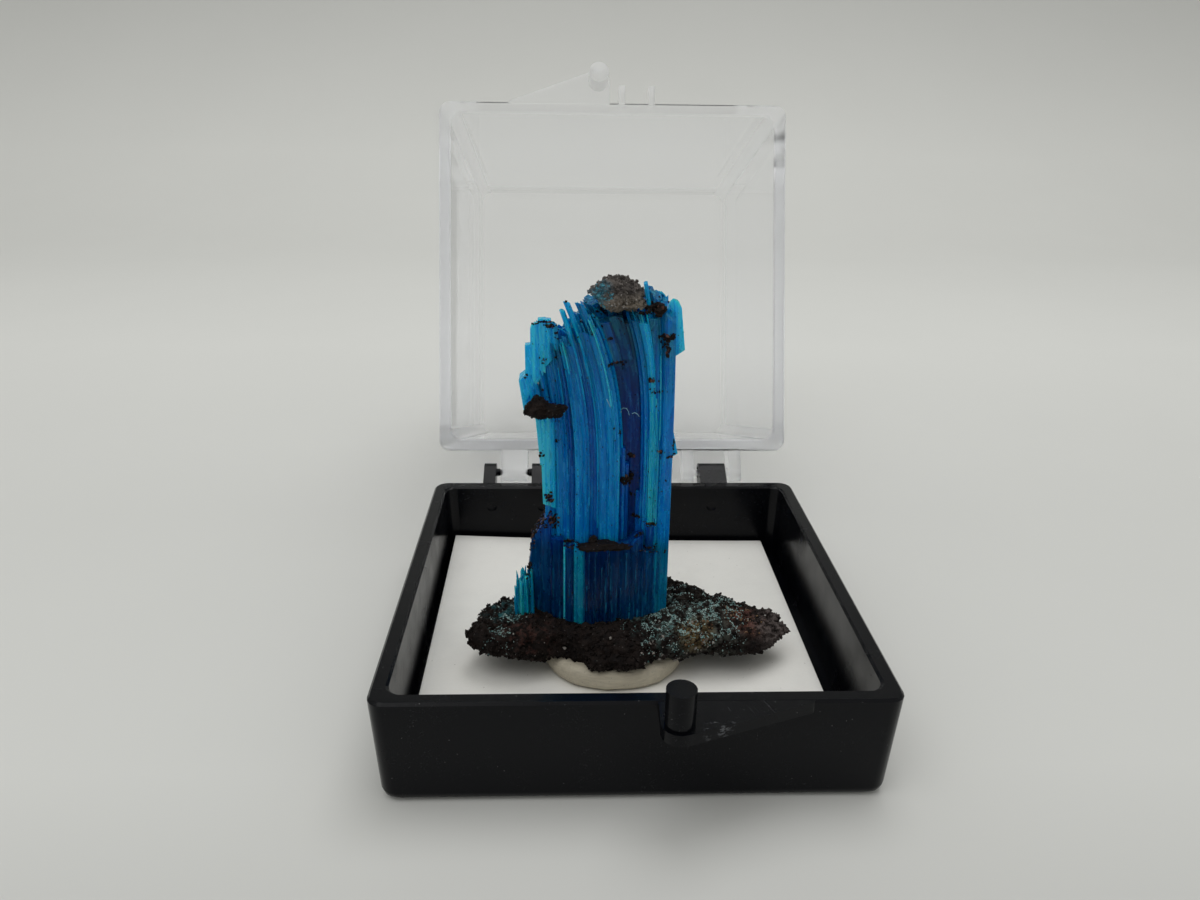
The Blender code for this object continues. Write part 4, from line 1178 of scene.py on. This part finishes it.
def fill_fibres(bundle, count):
    """Fine fibres, a little proud of the blades, in broken lengths."""
    rng = bundle.rng
    for index in range(count):
        width = 0.08 + 0.2 * rng.random() ** 2
        depth = width * rng.uniform(0.9, 1.8)
        side = rng.random()
        x = rng.uniform(PLAN_LEFT - 0.2, PLAN_RIGHT)
        lean = None
        if side < 0.36:
            if RECESS[0] < x < RECESS[1]:
                continue
            front, tone = upper_front(x)
            low = rng.uniform(STEP_TOP, 38.0)
            high = min(crest_height(x) - 0.8 * rng.random(), low + rng.uniform(4.0, 24.0))
            y = front + rng.uniform(0.0, 0.1)
            tone += 0.4 * (rng.random() < 0.1)
        elif side < 0.52:
            x = rng.uniform(-8.4, 4.2)
            front, tip, tone = lower_front(x)
            low = rng.uniform(FOOT, 14.0)
            high = min(tip - 0.1, low + rng.uniform(3.0, 8.0))
            y = front + rng.uniform(0.02, 0.1)
            tone += 0.35 * (rng.random() < 0.15)
            lean = 0.0
        elif side < 0.78:
            tone = rng.uniform(0.2, 0.7)
            low = rng.uniform(FOOT, 34.0)
            high = min(crest_height(x) - 1.2 * rng.random(), low + rng.uniform(5.0, 26.0))
            y = PLAN_BACK - rng.uniform(-0.08, 0.5)
        else:
            left = rng.random() < 0.5
            x = PLAN_LEFT + rng.uniform(-0.25, 0.1) if left else PLAN_RIGHT + rng.uniform(-0.1, 0.12)
            tone = rng.uniform(0.55, 0.95)
            y = rng.uniform(PLAN_FRONT + 0.8, PLAN_BACK - 0.7)
            low = rng.uniform(FOOT, 32.0)
            high = min(crest_height(x) - rng.uniform(0.2, 2.0), low + rng.uniform(4.0, 18.0))
        bundle.blade(x, y, width, depth, low, high, tone + rng.gauss(0, 0.04), sides=5, slant=0.9, lean=lean)


def fill_spikes(bundle):
    """Ragged needles at the foot of the left side."""
    rng = bundle.rng
    for index in range(70):
        share = rng.random()
        x = -12.3 + 2.0 * share
        y = rng.uniform(-6.0, -2.6)
        tip = 12.6 + 2.2 * share - 1.9 * rng.random() ** 1.7
        bundle.blade(x, y, rng.uniform(0.25, 0.6), rng.uniform(0.3, 0.7), FOOT - 0.4, tip, rng.uniform(0.5, 1.0),
                     sides=5, taper=0.45, slant=0.9, lean=rng.uniform(-0.25, 0.1))


def build_crystals(settings, material):
    """The fused bundle: core and inner blades, the bands of its front, single blades and fine fibres."""
    bundle = Bundle(21)
    fill_inside(bundle, settings.inner_blades)
    fill_upper_bands(bundle)
    fill_lower_bands(bundle)
    for x, y, width, depth, low, high, tone, lean in OUTLINE_BLADES:
        bundle.blade(x, y, width, depth, low, high, tone, slant=0.3, lean=lean)
    for left, right, front, back, foot_left, foot_right, tip_left, tip_right, tone, rounded, *lean in SIDE_SLABS:
        bundle.slab(left, right, (front, front), back, (foot_left, foot_right), (tip_left, tip_right), tone, 0.06,
                    True, rounded, lean)
    for x, foot, tip in PALE_STREAKS:
        front = upper_front(x)[0]
        bundle.blade(x, front, 0.13, 0.26, foot, tip, 0.92, sides=5, slant=0.9)
    fill_spikes(bundle)
    fill_fibres(bundle, settings.fibre_count)
    piece = bundle.fuse("crystal_fibres")
    piece.data.materials.append(material)
    piece.data.polygons.foreach_set("material_index", [0] * len(piece.data.polygons))
    smooth(piece.data, 12)
    store_fibre_space(piece.data)
    return finish_piece(piece, "tray", "chalcanthite", "crystal_bundle")


def store_fibre_space(mesh):
    """Straightens the bend, in millimetres, so that streaks can run along the fibres."""
    points = coordinates(mesh) / MM
    straight = points.copy()
    rise = np.maximum(0.0, points[:, 2] - BEND_START) / BEND_LENGTH
    feet = [row[0] for row in BEND]
    for _ in range(6):
        reach = np.interp(straight[:, 0], feet, [row[1] for row in BEND])
        power = np.interp(straight[:, 0], feet, [row[2] for row in BEND])
        straight[:, 0] = points[:, 0] + reach * rise**power
    stored = mesh.attributes.new("fibre_space", "FLOAT_VECTOR", "POINT")
    stored.data.foreach_set("vector", straight.ravel())


# Crumbs of rock on the crystals' front, in millimetres: x, z, half width, half height, number, largest radius
CRUMBS = [
    (-1.7, 38.1, 0.75, 0.10, 34, 0.20), (-0.95, 37.7, 0.10, 0.35, 10, 0.14), (-2.4, 40.6, 0.3, 0.25, 10, 0.2),
    (3.3, 40.9, 0.8, 0.28, 60, 0.28), (3.4, 39.9, 0.25, 0.6, 30, 0.24), (2.4, 43.8, 0.7, 0.5, 80, 0.34),
    (1.0, 43.7, 0.9, 0.35, 60, 0.26), (-0.35, 25.4, 0.55, 0.38, 70, 0.30), (0.15, 27.9, 0.28, 0.22, 26, 0.22),
    (0.3, 23.4, 0.16, 0.2, 8, 0.16), (0.0, 24.6, 0.2, 0.5, 12, 0.14), (0.8, 20.9, 0.55, 0.10, 40, 0.17),
    (2.3, 20.4, 0.7, 0.10, 44, 0.17), (1.95, 17.6, 0.6, 0.07, 26, 0.14), (3.0, 17.5, 0.15, 0.45, 12, 0.12),
    (4.0, 17.0, 0.12, 0.25, 10, 0.12), (-6.3, 18.4, 0.7, 0.12, 40, 0.17), (1.9, 36.6, 0.28, 0.16, 14, 0.2),
    (2.4, 35.4, 0.6, 0.3, 14, 0.14), (-8.2, 42.1, 0.5, 0.2, 46, 0.15), (-7.8, 38.9, 0.15, 0.08, 4, 0.14),
    (-7.8, 36.5, 0.14, 0.10, 4, 0.16), (-7.6, 30.0, 0.2, 0.10, 6, 0.16), (-7.7, 32.1, 0.25, 0.08, 6, 0.12),
    (-9.7, 28.3, 0.4, 0.25, 36, 0.24), (-8.5, 23.4, 0.35, 0.5, 40, 0.2), (-8.0, 20.8, 0.45, 0.8, 60, 0.22),
    (-9.3, 20.2, 0.5, 0.6, 20, 0.16), (-10.2, 17.8, 0.15, 0.8, 14, 0.14), (4.5, 29.2, 0.15, 0.5, 20, 0.14),
    (3.1, 28.7, 0.25, 0.15, 18, 0.18), (4.3, 28.1, 0.4, 0.10, 16, 0.14), (-1.15, 30.9, 0.12, 0.5, 12, 0.12),
    (-8.7, 42.5, 0.7, 0.06, 40, 0.12), (-9.7, 42.3, 0.4, 0.06, 16, 0.09), (-9.0, 38.6, 0.3, 0.25, 8, 0.12),
    (-7.7, 41.2, 0.15, 0.5, 14, 0.14), (-10.8, 14.6, 0.4, 0.7, 30, 0.2), (-3.4, 43.0, 0.6, 0.3, 20, 0.16),
]
HAIRLINES = [  # pale curved cracks over the recess: x and z along each
    [(-1.1, 32.9), (-0.8, 33.1), (-0.45, 33.05), (-0.25, 32.7), (-0.15, 32.3)],
    [(0.15, 32.5), (0.4, 32.6), (0.7, 32.45), (0.9, 32.15)],
    [(-2.6, 34.6), (-2.4, 34.2), (-2.2, 33.7)],
]
DIRT_FALL = 22.3
DIRT_FROM_ABOVE = [  # left, right, front, back, number, largest radius
    (-4.6, -0.5, -7.9, -6.4, 120, 0.24), (-10.6, -8.3, -5.9, -2.0, 260, 0.2), (-7.0, -4.4, -7.5, -6.4, 44, 0.15),
    (0.6, 3.2, -6.8, -5.5, 60, 0.16),
]
STEP_DIRT = (-2.85, -7.1, 18.45)
STEP_DIRT_REACH = (2.35, 0.95, 0.34)


def lump(centre, reach, rng, subdivisions=2, turned=True):
    """One angular crumb around a centre, with its reach along three axes."""
    bm = bmesh.new()
    bmesh.ops.create_icosphere(bm, subdivisions=subdivisions, radius=1.0)
    turn = Euler([rng.uniform(0, 6.28) for _ in range(3)]).to_matrix() if turned else Matrix.Identity(3)
    shift = Vector([rng.uniform(-50, 50) for _ in range(3)])
    for vert in bm.verts:
        rough = 1 + 0.55 * noise.noise(vert.co * 1.2 + shift) + 0.3 * noise.noise(vert.co * 3.1 + shift)
        vert.co = centre + turn @ Vector([c * r * rough for c, r in zip(vert.co, reach)])
    return bm


def add_lump(joined, small, material_index=0):
    mesh = bpy.data.meshes.new("crumb")
    small.to_mesh(mesh)
    small.free()
    before = len(joined.faces)
    joined.from_mesh(mesh)
    joined.faces.ensure_lookup_table()
    for face in joined.faces[before:]:
        face.material_index = material_index
    bpy.data.meshes.remove(mesh)


def build_crumbs(crystals, rock, rust, flaw):
    """Crumbs of matrix that stick to the crystals, each set where the skin is met from the front."""
    rng = random.Random(31)
    tree = BVHTree.FromObject(crystals, bpy.context.evaluated_depsgraph_get())
    joined = bmesh.new()
    for x, z, wide, tall, number, largest in CRUMBS:
        for _ in range(number):
            start = Vector((rng.gauss(x, wide * 0.55), -20.0, rng.gauss(z, tall * 0.55))) * MM
            hit = tree.ray_cast(start, Vector((0, 1, 0)))[0]
            if hit is None or hit.y > PLAN_BACK * MM:
                continue
            radius = (0.06 + (largest - 0.06) * rng.random() ** 1.6) * MM
            reach = [radius * rng.uniform(0.6, 1.3) for _ in range(3)]
            add_lump(joined, lump(hit, reach, rng, 1), 1 if rng.random() < 0.16 else 0)
    # Dirt lying on the step in front, and on the slope at the left
    centre = Vector(STEP_DIRT) * MM
    add_lump(joined, lump(centre, Vector(STEP_DIRT_REACH) * MM, rng, 5, False))
    add_lump(joined, lump(centre + Vector((-1.0, 0.6, 0.35)) * MM, Vector((0.55, 0.5, 0.4)) * MM, rng, 3))
    for left, right, front, back, number, largest in DIRT_FROM_ABOVE:
        for _ in range(number):
            start = Vector((rng.uniform(left, right), rng.uniform(front, back), DIRT_FALL)) * MM
            hit = tree.ray_cast(start, Vector((0, 0, -1)))[0]
            if hit is None or hit.z < FOOT * MM + 5 * MM:
                continue
            radius = rng.uniform(0.06, largest) * MM
            reach = [radius * rng.uniform(0.6, 1.3) for _ in range(3)]
            add_lump(joined, lump(hit, reach, rng, 1), 1 if rng.random() < 0.15 else 0)
    for line in HAIRLINES:
        for (x0, z0), (x1, z1) in zip(line, line[1:]):
            for step in range(10):
                x, z = x0 + (x1 - x0) * step / 10, z0 + (z1 - z0) * step / 10
                hit = tree.ray_cast(Vector((x, -20.0, z)) * MM, Vector((0, 1, 0)))[0]
                if hit is not None and hit.y < PLAN_BACK * MM:
                    reach = [rng.uniform(0.03, 0.05) * MM for _ in range(3)]
                    add_lump(joined, lump(hit, reach, rng, 1), 2)
    piece = new_object("rock_crumbs", from_bmesh("rock_crumbs", joined), rock, rust, flaw)
    grit = np.random.default_rng(17)
    places = surface_points(crystals.data, 520, grit, lambda point, facing: 0.25 if point[2] < 43.0 else 0.7)
    add_grains(piece, rock, places, 0.04, 0.16, grit)
    return finish_piece(piece, "tray", "dark_rock")


def build_stage(settings):
    """Pale sweep with painted shade and light in its colour, soft lights and the camera at the photograph's place."""
    bm = bmesh.new()
    half_width, near_edge, turn_start, turn_radius, top = 0.9, -0.6, 0.28, 0.22, 0.9
    profile = [(near_edge, 0.0), (turn_start, 0.0)]
    for step in range(1, 17):
        angle = step * math.pi / 32
        profile.append((turn_start + turn_radius * math.sin(angle), turn_radius * (1 - math.cos(angle))))
    profile.append((turn_start + turn_radius, top))
    rows = [[bm.verts.new((side, y, z)) for y, z in profile] for side in (-half_width, half_width)]
    for i in range(len(profile) - 1):
        bm.faces.new((rows[0][i], rows[1][i], rows[1][i + 1], rows[0][i + 1]))
    material, tree, shader = new_material("pale_paper", settings.floor_colour, Roughness=0.9)
    tone = noise_value(tree, place_on(tree), 0.02, 3.0)
    dark = tuple(0.965 * channel for channel in settings.floor_colour)
    colour = mix(tree, tone, settings.floor_colour, dark)
    away = node(tree, "ShaderNodeSeparateXYZ", {"Vector": place_on(tree)}).outputs["Y"]
    # Painted shade: a darker band on the floor in front of the box, towards the camera.
    shade = maths(tree, "MULTIPLY", between(tree, away, -20.0, -75.0), between(tree, away, -260.0, -110.0))
    colour = mix(tree, shade, colour, mix(tree, 1.0, colour, (0.68, 0.68, 0.68), "MULTIPLY"))
    # Painted light: the sweep is lighter behind the box.
    colour = mix(tree, between(tree, away, 40.0, 140.0), colour, mix(tree, 1.0, colour, (1.12, 1.12, 1.12), "MULTIPLY"))
    # Painted shade: the backdrop darkens towards its top.
    rise = node(tree, "ShaderNodeSeparateXYZ", {"Vector": place_on(tree)}).outputs["Z"]
    colour = mix(tree, between(tree, rise, 30.0, 110.0), colour, mix(tree, 1.0, colour, (0.8, 0.8, 0.8), "MULTIPLY"))
    tree.links.new(colour, shader.inputs["Base Color"])
    floor = new_object("floor", from_bmesh("floor", bm, False), material)
    floor.data.shade_smooth()

    def soft_light(name, place, aim, size, power):
        lamp = bpy.data.lights.new(name, "AREA")
        lamp.shape = "DISK"
        lamp.size = size
        lamp.energy = power
        holder = bpy.data.objects.new(name, lamp)
        holder.location = place
        holder.rotation_euler = (Vector(aim) - Vector(place)).to_track_quat("-Z", "Y").to_euler()
        bpy.context.scene.collection.objects.link(holder)

    soft_light("key_light", (-0.14, -0.16, 0.44), (0, 0, 0.01), 0.34, settings.key_power)
    soft_light("back_light", (0.08, 0.12, 0.52), (0, 0.02, 0.0), 0.34, settings.fill_power)
    world = bpy.data.worlds.new("soft_room")
    world.use_nodes = True
    background = world.node_tree.nodes["Background"]
    background.inputs["Color"].default_value = (1.0, 1.0, 0.965, 1.0)
    background.inputs["Strength"].default_value = settings.sky
    bpy.context.scene.world = world
    bpy.context.scene.view_settings.view_transform = "Standard"

    # The camera: where the photograph was taken from, with its tilt, pan and roll
    place = Vector((-6.55, -94.7, 64.4)) * MM
    tilt, pan, roll = math.radians(21.71), math.radians(-2.16), math.radians(0.83)
    ahead = Vector((-math.sin(pan) * math.cos(tilt), math.cos(pan) * math.cos(tilt), -math.sin(tilt)))
    right = Vector((math.cos(pan), math.sin(pan), 0.0))
    up = right.cross(ahead)
    turned_right = math.cos(roll) * right + math.sin(roll) * up
    turned_up = -math.sin(roll) * right + math.cos(roll) * up
    lens = bpy.data.cameras.new("camera")
    lens.sensor_width = 36.0
    lens.lens = settings.lens
    lens.clip_start = 1 * MM
    camera = bpy.data.objects.new("camera", lens)
    axes = Matrix((turned_right, turned_up, -ahead)).transposed().to_4x4()
    camera.matrix_world = Matrix.Translation(place) @ axes
    bpy.context.scene.collection.objects.link(camera)
    bpy.context.scene.camera = camera


class CHALCANTHITE_OT_box(bpy.types.Operator):
    """Builds the black tray and the clear lid"""
    bl_idname = "chalcanthite.box"
    bl_label = "Build Box"

    def execute(self, context):
        settings = context.scene.chalcanthite_box
        marks = [sink_mark(x) for x in (-17.2, -10.1, 13.8)]
        moulding("tray", "tray_moulding", settings.edge_radius, black_plastic(settings), "tray", "black_plastic", marks)
        moulding("lid", "lid_moulding", settings.edge_radius, clear_plastic(settings), "lid", "clear_plastic")
        return {"FINISHED"}


class CHALCANTHITE_OT_bedding(bpy.types.Operator):
    """Builds the card and the putty under the specimen"""
    bl_idname = "chalcanthite.bedding"
    bl_label = "Build Card and Putty"

    def execute(self, context):
        settings = context.scene.chalcanthite_box
        build_card(card_board(settings))
        build_putty(putty_stuff(settings))
        return {"FINISHED"}


class CHALCANTHITE_OT_crystals(bpy.types.Operator):
    """Builds the blue bundle and the crumbs of rock on it"""
    bl_idname = "chalcanthite.crystals"
    bl_label = "Build Crystals"

    def execute(self, context):
        settings = context.scene.chalcanthite_specimen
        crystals = build_crystals(settings, blue_crystal(settings))
        rust = gritty("rust", (0.09, 0.028, 0.014), (0.03, 0.014, 0.01))
        flaw = gritty("pale_flaw", (0.35, 0.62, 0.72), (0.2, 0.5, 0.62))
        build_crumbs(crystals, dark_rock(settings), rust, flaw)
        return {"FINISHED"}


class CHALCANTHITE_OT_rocks(bpy.types.Operator):
    """Builds the matrix, the rock cap and the chip"""
    bl_idname = "chalcanthite.rocks"
    bl_label = "Build Rocks"

    def execute(self, context):
        settings = context.scene.chalcanthite_specimen
        rock = bpy.data.materials.get("crusty_rock") or dark_rock(settings)
        teal = gritty("turquoise_dust", (0.12, 0.28, 0.28), (0.42, 0.53, 0.50))
        pale = gritty("pale_grit", (0.34, 0.32, 0.30), (0.18, 0.16, 0.14))
        ochre = gritty("ochre_grit", (0.20, 0.12, 0.05), (0.09, 0.035, 0.02))
        grey = gritty("grey_grit", (0.24, 0.22, 0.20), (0.05, 0.042, 0.038))
        blue = gritty("blue_grit", (0.02, 0.14, 0.20), (0.05, 0.24, 0.31), 0.3)
        build_matrix(settings, rock, teal, pale, ochre)
        build_cap(brown_rock(), grey, pale, blue)
        build_chip(rock)
        return {"FINISHED"}


class CHALCANTHITE_OT_stage(bpy.types.Operator):
    """Sets up the pale floor, the lights and the camera"""
    bl_idname = "chalcanthite.stage"
    bl_label = "Build Stage"

    def execute(self, context):
        build_stage(context.scene.chalcanthite_stage)
        return {"FINISHED"}


class CHALCANTHITE_PT_panel(bpy.types.Panel):
    """Lists the build steps and the settings"""
    bl_label = "Chalcanthite"
    bl_idname = "CHALCANTHITE_PT_panel"
    bl_space_type = "VIEW_3D"
    bl_region_type = "UI"
    bl_category = "Chalcanthite"

    def draw(self, context):
        for operator in OPERATORS:
            self.layout.operator(operator.bl_idname)
        for group in (context.scene.chalcanthite_box, context.scene.chalcanthite_specimen,
                      context.scene.chalcanthite_stage):
            box = self.layout.box()
            for key in group.__annotations__:
                box.prop(group, key)


GROUPS = {
    "chalcanthite_box": BoxSettings,
    "chalcanthite_specimen": SpecimenSettings,
    "chalcanthite_stage": StageSettings,
}
OPERATORS = [
    CHALCANTHITE_OT_stage, CHALCANTHITE_OT_box, CHALCANTHITE_OT_bedding, CHALCANTHITE_OT_crystals,
    CHALCANTHITE_OT_rocks,
]


def register():
    for group in GROUPS.values():
        bpy.utils.register_class(group)
    for operator in OPERATORS:
        bpy.utils.register_class(operator)
    bpy.utils.register_class(CHALCANTHITE_PT_panel)
    for name, group in GROUPS.items():
        setattr(bpy.types.Scene, name, PointerProperty(type=group))


def unregister():
    for name in GROUPS:
        delattr(bpy.types.Scene, name)
    for known in (CHALCANTHITE_PT_panel, *OPERATORS, *GROUPS.values()):
        bpy.utils.unregister_class(known)


def main():
    register()
    noise.seed_set(NOISE_SEED)
    bpy.ops.chalcanthite.stage()
    bpy.ops.chalcanthite.box()
    bpy.ops.chalcanthite.bedding()
    bpy.ops.chalcanthite.crystals()
    bpy.ops.chalcanthite.rocks()


if __name__ == "__main__":
    main()
